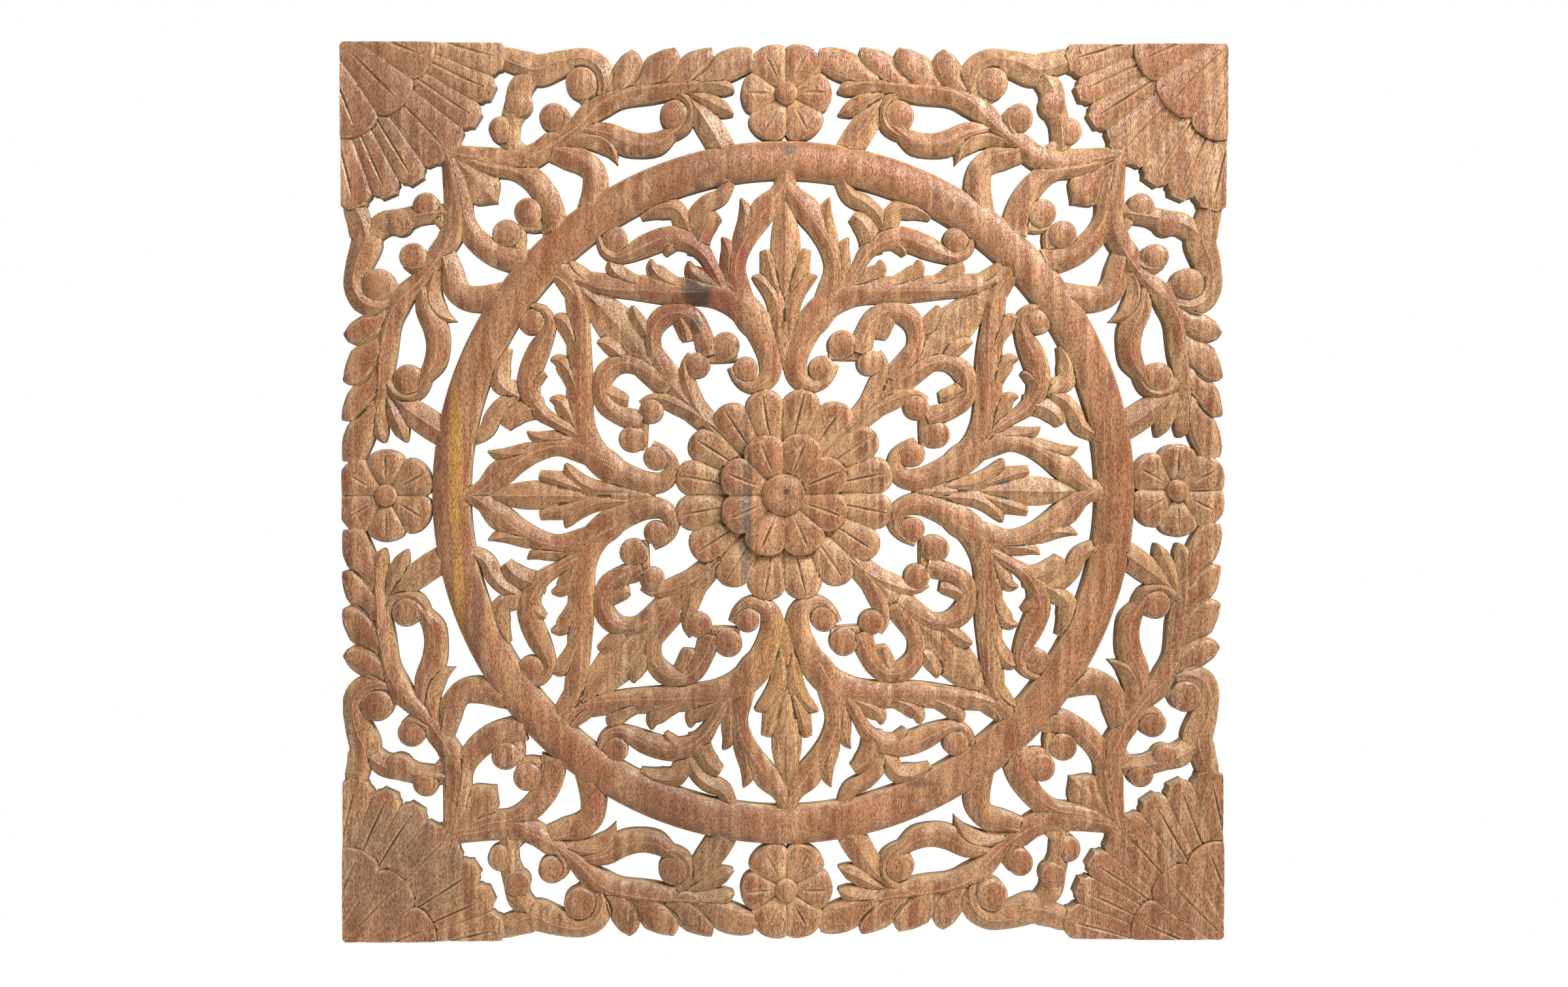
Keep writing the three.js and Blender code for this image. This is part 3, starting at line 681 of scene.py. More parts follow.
    def carved(self, body: Mesh, cuts: Sequence[Mesh]) -> Mesh:
        """The body less the cuts."""
        return self.with_parts(self.cut, body, cuts)

    def trimmed(self, body: Mesh, blank: Mesh) -> Mesh:
        """What of the body lies inside the blank."""
        return self.with_parts(self.keep, body, [blank])


@dataclass(frozen=True)
class Tier:
    """One tier of rays in a corner shell.

    Args:
        root: distance from the focus where the rays start.
        reach: distance from the focus where they end.
        bounds: directions of the bounds between the rays, in degrees from the side.
        heights: heights of the rays.
        cut_from: distance from the focus where the cuts between them start.
        end: length of their ends.
        fullness: how blunt their ends are.
        tip: half width of the very tip, as a share of the half width before the end.
    """

    root: float
    reach: float
    bounds: tuple[float, ...]
    heights: Heights
    cut_from: float
    end: float
    fullness: float
    tip: float


class Petals:
    """Petals that spread from a centre: their stations and the cuts along them."""

    # How far each laps over the next, the steps along its rounded end, and the levels that a cut is given.
    LAP = 1.04
    END_STEPS = (0.0, 0.45, 0.75, 0.93, 1.0)
    LEVELS = 7

    def petal(self, centre: Point, direction: float, spread: float, root: float, reach: float, end: float,
              heights: Heights, fullness: float = 2.0, tip: float = 0.12) -> Stroke:
        """A petal that widens from its root and ends in a round.

        Args:
            centre: where its direction starts.
            direction: its direction, in degrees from the right.
            spread: the angle that it fills, in degrees.
            root: distance from the centre where it starts.
            reach: distance from the centre where it ends.
            end: length of its rounded end.
            heights: its heights.
            fullness: 2 for an end that is part of an ellipse, more for a blunter one.
            tip: half width of the very tip, as a share of the half width before the end.

        Returns:
            The petal as a stroke.
        """
        turn = math.radians(direction)
        widen = math.tan(math.radians(spread) / 2) * self.LAP
        shoulder = reach - end
        steps = [(root, root * widen), ((root + shoulder) / 2, (root + shoulder) / 2 * widen)]
        for share in self.END_STEPS:
            round_off = (1 - share**fullness) ** (1 / fullness)
            steps.append((shoulder + end * share, shoulder * widen * max(round_off, tip)))
        u, v = centre
        stations = [(u + math.cos(turn) * far, v + math.sin(turn) * far, half, half) for far, half in steps]
        return Stroke(stations, heights, Section.ROUNDED)

    def level(self, far: float, root: float, reach: float, end: float, heights: Heights) -> float:
        """Height of the ridge of such a petal, at a distance from its centre."""
        shoulder = reach - end
        spans = len(self.END_STEPS) + 1
        share = np.interp(far, [root, (root + shoulder) / 2, shoulder, reach], [0, 1 / spans, 2 / spans, 1])
        return heights.ridge - float(heights.sunk(share))

    def cut(self, centre: Point, direction: float, start: float, end: float, levels: Sequence[float],
            half_width: float, full_at: float = 0.7) -> Gouge:
        """A straight gouge cut along a direction, from one distance from the centre to another.

        Args:
            centre: where its direction starts.
            direction: its direction, in degrees from the right.
            start: distance from the centre where it starts.
            end: distance from the centre where it ends.
            levels: heights of the surface that it is cut into, from start to end.
            half_width: its half width.
            full_at: share of the way where it is widest.

        Returns:
            The cut.
        """
        turn = math.radians(direction)
        u, v = centre
        stops = (start, (start + end) / 2, end)
        path = [(u + math.cos(turn) * far, v + math.sin(turn) * far) for far in stops]
        return Gouge(path, levels, half_width, full_at=full_at)

    def levels(self, start: float, end: float, below: float, *petal: object) -> list[float]:
        """Levels for a cut along a petal, so far below its ridge."""
        return [self.level(far, *petal) - below for far in np.linspace(start, end, self.LEVELS)]


@dataclass
class Shell(Petals):
    """The half of a corner shell that lies in one eighth: two tiers of rays from a focus past the corner.

    Args:
        focus: how far right and up the focus lies.
        outer: the lower tier, with the longer rays.
        inner: the tier that lies over it.
    """

    focus: float = 488.0
    outer: Tier = Tier(60, 209, (10.5, 20.6, 29.1, 37.7, 52.3), Heights(18.0, 19.6), 115, 9.0, 1.3, 0.5)
    inner: Tier = Tier(40, 143, (14.5, 34.4, 55.6), Heights(21.6, 23.4), 58, 14.0, 2.0, 0.12)

    # Cuts start this far below the ridges. Those between the rays end near the tips, and are wider and full
    # later than those along the rays, which end short of the tips.
    BELOW = 0.2
    NOTCH = 3.0
    BETWEEN = 2.6
    FULL_LATE = 0.85
    ALONG = 2.1
    SHORT = 12.0
    # The last ray lies across the diagonal. The cuts along the others lie nearer to their first bound.
    DIAGONAL = 45
    SHARES = (0.55, 0.45)

    def rays(self, tier: Tier) -> list[Stroke]:
        """The rays of a tier."""
        return [
            self.petal((self.focus, self.focus), 180 + (start + end) / 2, end - start, tier.root, tier.reach,
                       tier.end, tier.heights, tier.fullness, tier.tip)
            for start, end in zip(tier.bounds, tier.bounds[1:])
        ]

    def cuts(self, tier: Tier) -> list[Gouge]:
        """The cuts between the rays of a tier and along the middle of each."""
        centre = (self.focus, self.focus)
        levels = (tier.heights.ridge - self.BELOW,)
        made = [
            self.cut(centre, 180 + bound, tier.cut_from, tier.reach - self.NOTCH, levels, self.BETWEEN,
                     self.FULL_LATE)
            for bound in tier.bounds
        ]
        for start, end in zip(tier.bounds, tier.bounds[1:]):
            between = start * self.SHARES[0] + end * self.SHARES[1]
            middle = 180 + (between if end < self.DIAGONAL else self.DIAGONAL)
            made.append(self.cut(centre, middle, tier.cut_from, tier.reach - self.SHORT, levels, self.ALONG))
        return made

    def build(self, bench: Bench) -> list[Mesh]:
        """Both tiers, each carved before one is laid over the other."""
        return [
            bench.carved(bench.joined([ray.solid().mesh("ray") for ray in self.rays(tier)]),
                         [cut.solid().mesh("cut") for cut in self.cuts(tier)])
            for tier in (self.outer, self.inner)
        ]


@dataclass
class SideFlower(Petals):
    """The flower in the middle of a side: petals all round a button, drawn here for its right half.

    Args:
        centre: its middle.
        root: distance from the middle where the petals start.
        spread: the angle that each petal fills, in degrees.
        end: length of their rounded ends.
        sizes: direction and reach of each petal.
        heights: heights of the petals.
        button: radius of the button, and the heights of its edge and its crown.
        cut_sizes: direction, start, end and half width of each cut.
    """

    centre: Point = (0.0, 400.0)
    root: float = 8.0
    spread: float = 60.0
    end: float = 14.0
    sizes: tuple[Point, ...] = ((62, 51.5), (1, 47), (-59, 50))
    heights: Heights = Heights(17.0, 20.2, root_drop=4.0)
    button: Triple = (11.5, 17.5, 22.0)
    cut_sizes: tuple[Station, ...] = (
        (91, 13, 32, 2.6), (61, 12, 41, 2.1), (31, 12, 42, 3.0), (1, 12, 41, 2.1), (-30, 12, 42, 3.0),
        (-60, 12, 43, 2.1), (-90, 12, 43, 2.8),
    )

    # Cuts wider than this lie in the valleys between petals, so they start lower than those along the petals.
    # The heights along all of them are those of a petal of the usual reach.
    VALLEY = 2.4
    BELOW_PETAL = 0.2
    BELOW_VALLEY = 0.7
    USUAL_REACH = 50.0
    BUTTON_SIDES = 18

    def petals(self) -> list[Stroke]:
        """The petals."""
        return [self.petal(self.centre, direction, self.spread, self.root, reach, self.end, self.heights)
                for direction, reach in self.sizes]

    def cuts(self) -> list[Gouge]:
        """The cuts between and along the petals."""
        made = []
        for direction, start, end, half in self.cut_sizes:
            below = self.BELOW_PETAL if half < self.VALLEY else self.BELOW_VALLEY
            levels = self.levels(start, end, below, self.root, self.USUAL_REACH, self.end, self.heights)
            made.append(self.cut(self.centre, direction, start, end, levels, half))
        return made

    def boss(self) -> Solid:
        """The button over the roots of the petals."""
        return turned(dome(*self.button), self.BUTTON_SIDES, self.centre)


def dome(radius: float, edge: float, crown: float, steps: int = 4) -> list[Point]:
    """Profile of a button: upright to its edge, then domed.

    Args:
        radius: its radius.
        edge: height where the dome starts.
        crown: height of its middle.
        steps: points on the dome.

    Returns:
        The profile from the foot on the axis to the crown.
    """
    profile = [(0.0, 0.0), (radius, 0.0)]
    for i in range(steps):
        turn = math.pi / 2 * i / steps
        profile.append((radius * math.cos(turn), edge + (crown - edge) * math.sin(turn)))
    return [*profile, (0.0, crown)]


@dataclass
class Eighth:
    """Everything that is drawn in one eighth of the pattern, apart from the middle flower.

    Args:
        shell: the corner shell.
        flower: the flower in the middle of the side.
        stem: heights of the stems.
        leaf: heights of the leaves.
        lobe: heights of the lobes along the top.
        under_leaf: heights of the leaves that others lie over.
        seat: heights of the webs at the buttons.
        ball: heights of the edge and the crown of the buttons.
        cut_level: height of the surface that the gouge cuts start from.
        cut_half_width: their half width.
    """

    shell: Shell = field(default_factory=Shell)
    flower: SideFlower = field(default_factory=SideFlower)
    stem: Heights = Heights(16.2, 21.4, root_drop=2.0, drop_share=0.12)
    leaf: Heights = Heights(15.4, 20.6, root_drop=4.5, tip_drop=1.2, drop_share=0.25)
    lobe: Heights = Heights(16.0, 20.4, root_drop=4.5, tip_drop=1.2, drop_share=0.25)
    under_leaf: Heights = Heights(14.2, 19.4, root_drop=4.0)
    seat: Heights = Heights(14.6, 17.0)
    ball: Point = (16.4, 21.2)
    cut_level: float = 18.5
    cut_half_width: float = 2.6

    BALL_SIDES = 20

    def build(self, bench: Bench) -> Mesh:
        """Joins the strokes, cuts the gouge lines, and sets the buttons in."""
        kinds = (
            (STEMS, self.stem, Section.RIDGED), (LEAVES, self.leaf, Section.SCOOPED),
            (LOBES, self.lobe, Section.ROUNDED), (UNDER_LEAVES, self.under_leaf, Section.SCOOPED),
            (SEATS, self.seat, Section.ROUNDED),
        )
        strokes = [
            Stroke(stations, heights, section)
            for table, heights, section in kinds
            for stations in table.values()
        ]
        strokes += self.flower.petals()
        parts = [stroke.solid().mesh("stroke") for stroke in strokes]
        body = bench.joined([*parts, *self.shell.build(bench)])
        cuts = [Gouge(path, (self.cut_level,), self.cut_half_width) for path in CUTS.values()]
        cuts += self.flower.cuts()
        body = bench.carved(body, [cut.solid().mesh("cut") for cut in cuts])
        edge, crown = self.ball
        buttons = [turned(dome(radius, edge + lift, crown + lift), self.BALL_SIDES, (u, v))
                   for u, v, radius, lift in BALLS]
        buttons.append(self.flower.boss())
        return bench.joined([body, *(button.mesh("button") for button in buttons)])


@dataclass(frozen=True)
class Ring:
    """One ring of petals in the middle flower.

    Args:
        petals: how many petals there are.
        sizes: where they start and end, and the length of their rounded ends.
        heights: their heights.
        cuts: start, end, half width and depth below the ridge, of the cuts along the petals and between them.
    """

    petals: int
    sizes: Triple
    heights: Heights
    cuts: tuple[Station, Station]


@dataclass
class MiddleFlower(Petals):
    """The flower in the middle of the panel: two rings of petals and a button with a dished top.

    Args:
        outer: the lower ring.
        inner: the ring that lies over it.
        button: profile of the button, as (distance from its axis, height above the back).
        button_sides: how many sides the button has.
    """

    outer: Ring = Ring(
        16, (50, 110, 17), Heights(17.0, 20.4, root_drop=9.0, drop_share=0.5),
        ((56, 104, 2.3, 0.2), (56, 99, 2.9, 0.7)),
    )
    inner: Ring = Ring(
        8, (16, 66, 17), Heights(21.0, 23.6, root_drop=7.0), ((21, 59, 2.3, 0.2), (20, 58, 3.2, 0.7)),
    )
    button: tuple[Point, ...] = (
        (0, 0), (21.8, 0), (21.8, 18.0), (21.2, 20.2), (19.6, 22.2), (17.0, 23.8), (13.5, 24.8), (10.0, 25.0),
        (6.5, 24.5), (2.5, 23.9), (0, 23.8),
    )
    button_sides: int = 32

    MIDDLE = (0.0, 0.0)
    UPWARDS = 90

    def carved(self, bench: Bench, ring: Ring) -> Mesh:
        """One ring of petals as one solid, with its cuts.

        Args:
            bench: the bench.
            ring: what it is like.

        Returns:
            The ring.
        """
        half_step = math.pi / ring.petals
        petal = self.petal(self.MIDDLE, self.UPWARDS, 360 / ring.petals, *ring.sizes, ring.heights)
        petal = petal.solid().mesh("petal")
        whole = bench.run(bench.wheel, petal, {"Copies": ring.petals, "First turn": half_step})
        cuts = []
        for first, (start, end, half, below) in zip((half_step, 0.0), ring.cuts):
            levels = self.levels(start, end, below, *ring.sizes, ring.heights)
            cut = self.cut(self.MIDDLE, self.UPWARDS, start, end, levels, half).solid().mesh("cut")
            cuts.append(bench.run(bench.wheel, cut, {"Copies": ring.petals, "First turn": first}))
        return bench.carved(whole, cuts)

    def build(self, bench: Bench) -> Mesh:
        """Both rings, each carved before one is laid over the other, and the button."""
        return bench.joined([
            self.carved(bench, self.outer),
            self.carved(bench, self.inner),
            turned(self.button, self.button_sides).mesh("button"),
        ])


@dataclass
class RoundMoulding:
    """The round moulding between the border and the middle: a half-round on a square base.

    Args:
        inner: its inner radius.
        outer: its outer radius.
        edge: height of the base.
        crown: height of its middle.
        facets: how many facets the half-round has.
        sides: how many steps there are round the panel.
    """

    inner: float = 319.7
    outer: float = 358.5
    edge: float = 15.0
    crown: float = 24.0
    facets: int = 12
    sides: int = 160

    def build(self, bench: Bench) -> Mesh:
        """Sweeps the section round the middle."""
        half = (self.outer - self.inner) / 2
        turns = np.linspace(0, math.pi, self.facets + 1)
        across = [-half, half, *(half * np.cos(turns))]
        up = [0, 0, *(self.edge + (self.crown - self.edge) * np.sin(turns))]
        outline = bpy.data.meshes.new("moulding_section")
        count = len(across)
        edges = [(i, (i + 1) % count) for i in range(count)]
        outline.from_pydata([(a * MM, h * MM, 0) for a, h in zip(across, up)], edges, [])
        radius = (self.inner + self.outer) / 2 * MM
        ring = bench.run(bench.sweep, outline, {"Radius": radius, "Sides": self.sides})
        if signed_volume(ring) < 0:
            ring.flip_normals()
        return ring


@dataclass
class Hand:
    """How the carving by hand strays from the drawing.

    Args:
        half_width: half the width of the square that the pattern is drawn on.
        half_height: half the height that it is drawn out to.
        stretch_from: height above the middle where the drawing out starts.
        reach: distance over which each stray holds.
        strays: at (x, z), so far to the right and so far up.
        tremble: how far the knife wavers from place to place.
        waves: lengths of its wavers.
    """

    half_width: float = 450.0
    half_height: float = 456.3
    stretch_from: float = 250.0
    reach: float = 75.0
    strays: tuple[Station, ...] = (
        (0, 0, -1, -2), (200, 0, 6, 3), (185, 185, 2, 0), (0, 225, 1, 5), (-190, 210, 1, 1),
        (-200, 0, -6, -2), (-190, -190, 1, -4), (0, -225, 4, -6), (190, -190, 2, 2), (-75, 75, -4, -5),
        (80, -80, 4, 2), (-80, -80, -2, 0), (400, 0, 2, 3), (400, 180, 3, 4), (300, 300, -1, 1),
        (180, 400, 2, 1),
        (0, 400, 1, 1), (-180, 400, 5, 0), (-300, 320, 3, 1), (-400, 240, -3, 3), (-400, 0, -5, -2),
        (-400, -180, -6, -6), (-320, -320, 0, -6), (-180, -400, 2, -2), (0, -400, 3, 0), (190, -400, 4, 4),
        (320, -320, 1, 4), (400, -180, 2, 2), (430, 430, 0, 0), (-430, 430, 0, 0), (-430, -430, 0, 0),
        (430, -430, 0, 2),
    )
    tremble: float = 0.35
    waves: Point = (47.0, 23.0)

    # How fast the wavers run across and along: for those to the right, and for those up.
    RIGHT_WAVER = (2.1, 0.7)
    UP_WAVER = (1.9, 0.8)

    def move(self, points: np.ndarray) -> np.ndarray:
        """Where the hand puts points of the drawing, all in millimetres."""
        x, z = points[:, 0], points[:, 2]
        total = np.zeros((len(points), 2))
        whole = np.zeros(len(points))
        for at_x, at_z, right, up in self.strays:
            weight = np.exp(-0.5 * ((x - at_x) ** 2 + (z - at_z) ** 2) / self.reach**2)
            total += weight[:, None] * (right, up)
            whole += weight
        beyond = np.clip((np.abs(z) - self.stretch_from) / (self.half_width - self.stretch_from), 0, 1)
        beyond = beyond * beyond * (3 - 2 * beyond)
        moved = points.copy()
        moved[:, 0] += total[:, 0] / whole
        moved[:, 2] += total[:, 1] / whole + np.sign(z) * (self.half_height - self.half_width) * beyond
        (across, along), (over, back) = self.RIGHT_WAVER, self.UP_WAVER
        for wave in self.waves:
            moved[:, 0] += self.tremble * np.sin(z / wave * across + x / wave * along + wave)
            moved[:, 2] += self.tremble * np.sin(x / wave * over - z / wave * back + 2 * wave)
        return moved


@dataclass
class CarvedPanel:
    """The whole panel: the drawn pattern eight times, the moulding and the middle flower, in one blank.

    Args:
        bench: the bench that it is made on.
        finishes: the finish of the carved face, and that of the walls and the back.
        eighth: the drawn pattern.
        flower: the flower in the middle.
        moulding: the round moulding.
        hand: how the carving strays.
        thickness: thickness of the blank.
        corner_radius: how round its corners are worn.
    """

    bench: Bench
    finishes: tuple[Material, Material]
    eighth: Eighth = field(default_factory=Eighth)
    flower: MiddleFlower = field(default_factory=MiddleFlower)
    moulding: RoundMoulding = field(default_factory=RoundMoulding)
    hand: Hand = field(default_factory=Hand)
    thickness: float = 25.0
    corner_radius: float = 5.0

    NAME = "carved_panel_relief"
    QUARTERS = 4
    CORNER_POINTS = 7
    BELOW_BACK = -1.0
    CUBIC_CM = 1e6
    # Faces that meet at more than this look sharp.
    CREASE = math.radians(34)
    # A wall looks forward by no more than this, as the y of its normal, and reaches down below this height.
    WALL = -0.35
    LOW = 10.0
    # A bend of this many radians counts as fully hollow or proud. Faces of less than SLIVER square metres are
    # left by the joining of solids and don't count.
    FULL_BEND = 0.35
    SLIVER = 1e-9

    def build(self) -> bpy.types.Object:
        """Builds the panel and dresses it."""
        eighth = self.eighth.build(self.bench)
        log.info("one eighth: %d faces", len(eighth.polygons))
        pattern = self.bench.run(self.bench.eightfold, eighth, {"Quarters": self.QUARTERS})
        pattern = self.bench.joined([pattern, self.flower.build(self.bench)])
        self.shift(pattern)
        whole = self.bench.joined([pattern, self.moulding.build(self.bench)])
        mesh = self.trimmed(whole)
        mesh.name = self.NAME
        self.dress(mesh)
        piece = bpy.data.objects.new(self.NAME, mesh)
        bpy.context.scene.collection.objects.link(piece)
        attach(piece, "root")
        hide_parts("carved_panel")
        triangles = sum(len(face.vertices) - 2 for face in mesh.polygons)
        log.info("%s: %d triangles, %.0f cm3", piece.name, triangles, signed_volume(mesh) * self.CUBIC_CM)
        return piece

    def shift(self, mesh: Mesh) -> None:
        """Moves the points of the drawn pattern to where the hand puts them."""
        moved = self.hand.move(vertex_array(mesh) / MM) * MM
        mesh.vertices.foreach_set("co", moved.astype(np.float32).ravel())
        mesh.update()

    def trimmed(self, mesh: Mesh) -> Mesh:
        """What of the pattern lies inside the sawn blank with its worn corners."""
        r, w, h = self.corner_radius, self.hand.half_width, self.hand.half_height
        outline = []
        for k, (cx, cz) in enumerate([(w - r, h - r), (r - w, h - r), (r - w, r - h), (w - r, r - h)]):
            turns = np.radians(np.linspace(90 * k, 90 * k + 90, self.CORNER_POINTS))
            outline += [(cx + r * math.cos(t), cz + r * math.sin(t)) for t in turns]
        corners = np.array(outline)
        rings = np.stack([drawn(corners[:, 0], corners[:, 1], np.full(len(corners), level))
                          for level in (self.BELOW_BACK, self.thickness)])
        return self.bench.trimmed(mesh, skin(rings).mesh("blank"))

    def dress(self, mesh: Mesh) -> None:
        """Gives the mesh its finishes, its smooth shading, and the hollows and crests that the finishes read
        for wear and for painted shade and highlight.

        Args:
            mesh: the mesh of the panel.
        """
        mesh.materials.clear()
        for finish in self.finishes:
            mesh.materials.append(finish)
        normals = read(mesh.polygons, "normal", 3)
        wall = (normals[:, 1] > self.WALL) & self.low_faces(mesh)
        mesh.polygons.foreach_set("material_index", wall.astype(np.int32))
        mesh.shade_smooth()
        mesh.set_sharp_from_angle(angle=self.CREASE)
        hollow, crest = self.wear_and_shade_masks(mesh, normals.astype(float), wall)
        for name, values in (("hollow", hollow), ("crest", crest)):
            mesh.attributes.new(name, "FLOAT", "POINT").data.foreach_set("value", values.astype(np.float32))

    def low_faces(self, mesh: Mesh) -> np.ndarray:
        """Which faces reach down towards the back."""
        corners = read(mesh.loops, "vertex_index", kind=np.int64)
        starts = read(mesh.polygons, "loop_start", kind=np.int64)
        return np.maximum.reduceat(vertex_array(mesh)[corners, 1], starts) > -self.LOW * MM

    def wear_and_shade_masks(self, mesh: Mesh, normals: np.ndarray, wall: np.ndarray) -> tuple[np.ndarray, np.ndarray]:
        """How hollow and how proud the carving is at each point of the mesh.

        Args:
            mesh: the mesh of the panel.
            normals: normal of each face.
            wall: whether each face is a wall or the back.

        Returns:
            For each vertex, how much it lies in a crease and how much on a crest, from 0 to 1.
        """
        points = vertex_array(mesh)
        centres = read(mesh.polygons, "center", 3).astype(float)
        ends = read(mesh.edges, "vertices", 2, np.int64)
        first, second = self.neighbours(mesh)
        length = np.linalg.norm(points[ends[:, 0]] - points[ends[:, 1]], axis=1)
        bend = np.arccos(np.clip((normals[first] * normals[second]).sum(1), -1, 1))
        inwards = (normals[first] * (centres[second] - centres[first])).sum(1) > 0
        sound = read(mesh.polygons, "area") > self.SLIVER
        shown = ~(wall[first] & wall[second]) & sound[first] & sound[second]
        results = []
        for kind in (inwards & ~(wall[first] | wall[second]), ~inwards):
            weight = np.where(kind & shown, bend, 0) * length
            total = np.zeros(len(points))
            whole = np.zeros(len(points))
            for end in ends.T:
                np.add.at(total, end, weight)
                np.add.at(whole, end, length)
            results.append(np.clip(total / (whole + TINY) / self.FULL_BEND, 0, 1))
        return results[0], results[1]

    def neighbours(self, mesh: Mesh) -> tuple[np.ndarray, np.ndarray]:
        """The two faces that meet at each edge of a closed mesh."""
        starts = read(mesh.polygons, "loop_start", kind=np.int64)
        edge_of = read(mesh.loops, "edge_index", kind=np.int64)
        face_of = np.repeat(np.arange(len(starts)), np.diff([*starts, len(edge_of)]))
        order = np.argsort(edge_of, kind="stable")
        return face_of[order[0::2]], face_of[order[1::2]]


def colour(red: float, green: float, blue: float) -> Colour:
    """A colour for a shader, from its values as they are seen, each from 0 to 255."""
    seen = [value / 255 for value in (red, green, blue)]
    linear = [v / 12.92 if v <= 0.04045 else ((v + 0.055) / 1.055) ** 2.4 for v in seen]
    return (*linear, 1.0)


class ShaderMaker(NodeMaker):
    """Builds the tree of a shader or of a shader node group."""

    def maths(self, operation: str, *values: object) -> Socket:
        """The result of a sum on numbers."""
        return self.node("ShaderNodeMath", dict(enumerate(values)), operation=operation).outputs[0]

    def scaled(self, vector: Socket, scale: Triple) -> Socket:
        """A vector, scaled along each axis."""
        return self.node("ShaderNodeVectorMath", {0: vector, 1: scale}, operation="MULTIPLY").outputs[0]

    def noise(self, vector: Socket, scale: Triple, detail: float = 2.0, roughness: float = 0.5,
              distortion: float = 0.0) -> Socket:
        """Smooth noise, from 0 to 1, stretched along the axes."""
        return self.node("ShaderNodeTexNoise", {
            "Vector": self.scaled(vector, scale), "Scale": 1.0, "Detail": detail, "Roughness": roughness,
            "Distortion": distortion,
        }).outputs["Fac"]

    def ranged(self, value: Socket, low: float, high: float, start: float = 0.0,
               end: float = 1.0) -> Socket:
        """A value that runs from start to end smoothly while another runs from low to high."""
        return self.node("ShaderNodeMapRange", {0: value, 1: low, 2: high, 3: start, 4: end},
                         interpolation_type="SMOOTHSTEP").outputs[0]

    def share(self, value: Socket, low: float, high: float) -> Socket:
        """How far a value lies between low and high, from 0 to 1."""
        return self.node("ShaderNodeMapRange", {0: value, 1: low, 2: high}).outputs[0]

    def mixed(self, share: object, one: object, other: object, blend: str = "MIX") -> Socket:
        """One colour mixed into another."""
        return self.node("ShaderNodeMix", {0: share, 6: one, 7: other}, data_type="RGBA", blend_type=blend,
                         clamp_factor=True).outputs[2]


def shader_group(name: str, inputs: dict[str, str],
                 outputs: dict[str, str]) -> tuple[ShaderMaker, Node]:
    """Starts a shader node group.

    Args:
        name: name of the group.
        inputs: socket type of each named input.
        outputs: socket type of each named output.

    Returns:
        The maker for its tree, and the node with its inputs.
    """
    tree = bpy.data.node_groups.new(name, "ShaderNodeTree")
    for way, sockets in (("INPUT", inputs), ("OUTPUT", outputs)):
        for key, kind in sockets.items():
            tree.interface.new_socket(key, in_out=way, socket_type=kind)
    maker = ShaderMaker(tree)
    return maker, maker.node("NodeGroupInput")


@dataclass(frozen=True)
class Boards:
    """The boards that the blank is glued up from, side by side, with upright grain.

    Args:
        seams: where one board meets the next, in millimetres from the middle.
        tones: how light each board is.
        half_width: half the width of the blank.
        slip: how far the grain jumps from board to board, in metres for each step of 1 in tone.
    """

    seams: tuple[float, ...] = (-319, -173, -32, 148, 325)
    tones: tuple[float, ...] = (0.87, 0.90, 0.79, 0.95, 0.90, 0.80)
    half_width: float = 450.0
    slip: float = 7.3

    # The seams waver a little: how often along each axis, and how far in metres.
    WAVES = (3, 3, 5)
    WAVER = 0.004

    def group(self) -> Tree:
        """A group that puts out the place in the board's own grain, and the board's tone."""
        maker, start = shader_group("boards", {"Place": "NodeSocketVector"},
                                    {"Place": "NodeSocketVector", "Tone": "NodeSocketFloat"})
        split = maker.node("ShaderNodeSeparateXYZ", {0: start.outputs[0]})
        waver = maker.noise(start.outputs[0], self.WAVES, 1.0)
        across = maker.maths("MULTIPLY_ADD", waver, self.WAVER, split.outputs[0])
        share = maker.share(across, -self.half_width * MM, self.half_width * MM)
        ramp = maker.node("ShaderNodeValToRGB", {0: share})
        ramp.color_ramp.interpolation = "CONSTANT"
        places = [0.0, *((seam + self.half_width) / (2 * self.half_width) for seam in self.seams)]
        for i, (place, tone) in enumerate(zip(places, self.tones)):
            stop = ramp.color_ramp.elements[i] if i < 2 else ramp.color_ramp.elements.new(place)
            stop.position = place
            stop.color = (tone, tone, tone, 1)
        tone = maker.node("ShaderNodeRGBToBW", {0: ramp.outputs[0]}).outputs[0]
        jump = maker.maths("MULTIPLY", tone, self.slip)
        shift = maker.node("ShaderNodeCombineXYZ", {0: jump, 1: 0.0, 2: jump})
        place = maker.node("ShaderNodeVectorMath", {0: start.outputs[0], 1: shift.outputs[0]},
                           operation="ADD")
        maker.node("NodeGroupOutput", {0: place.outputs[0], 1: tone})
        return maker.tree


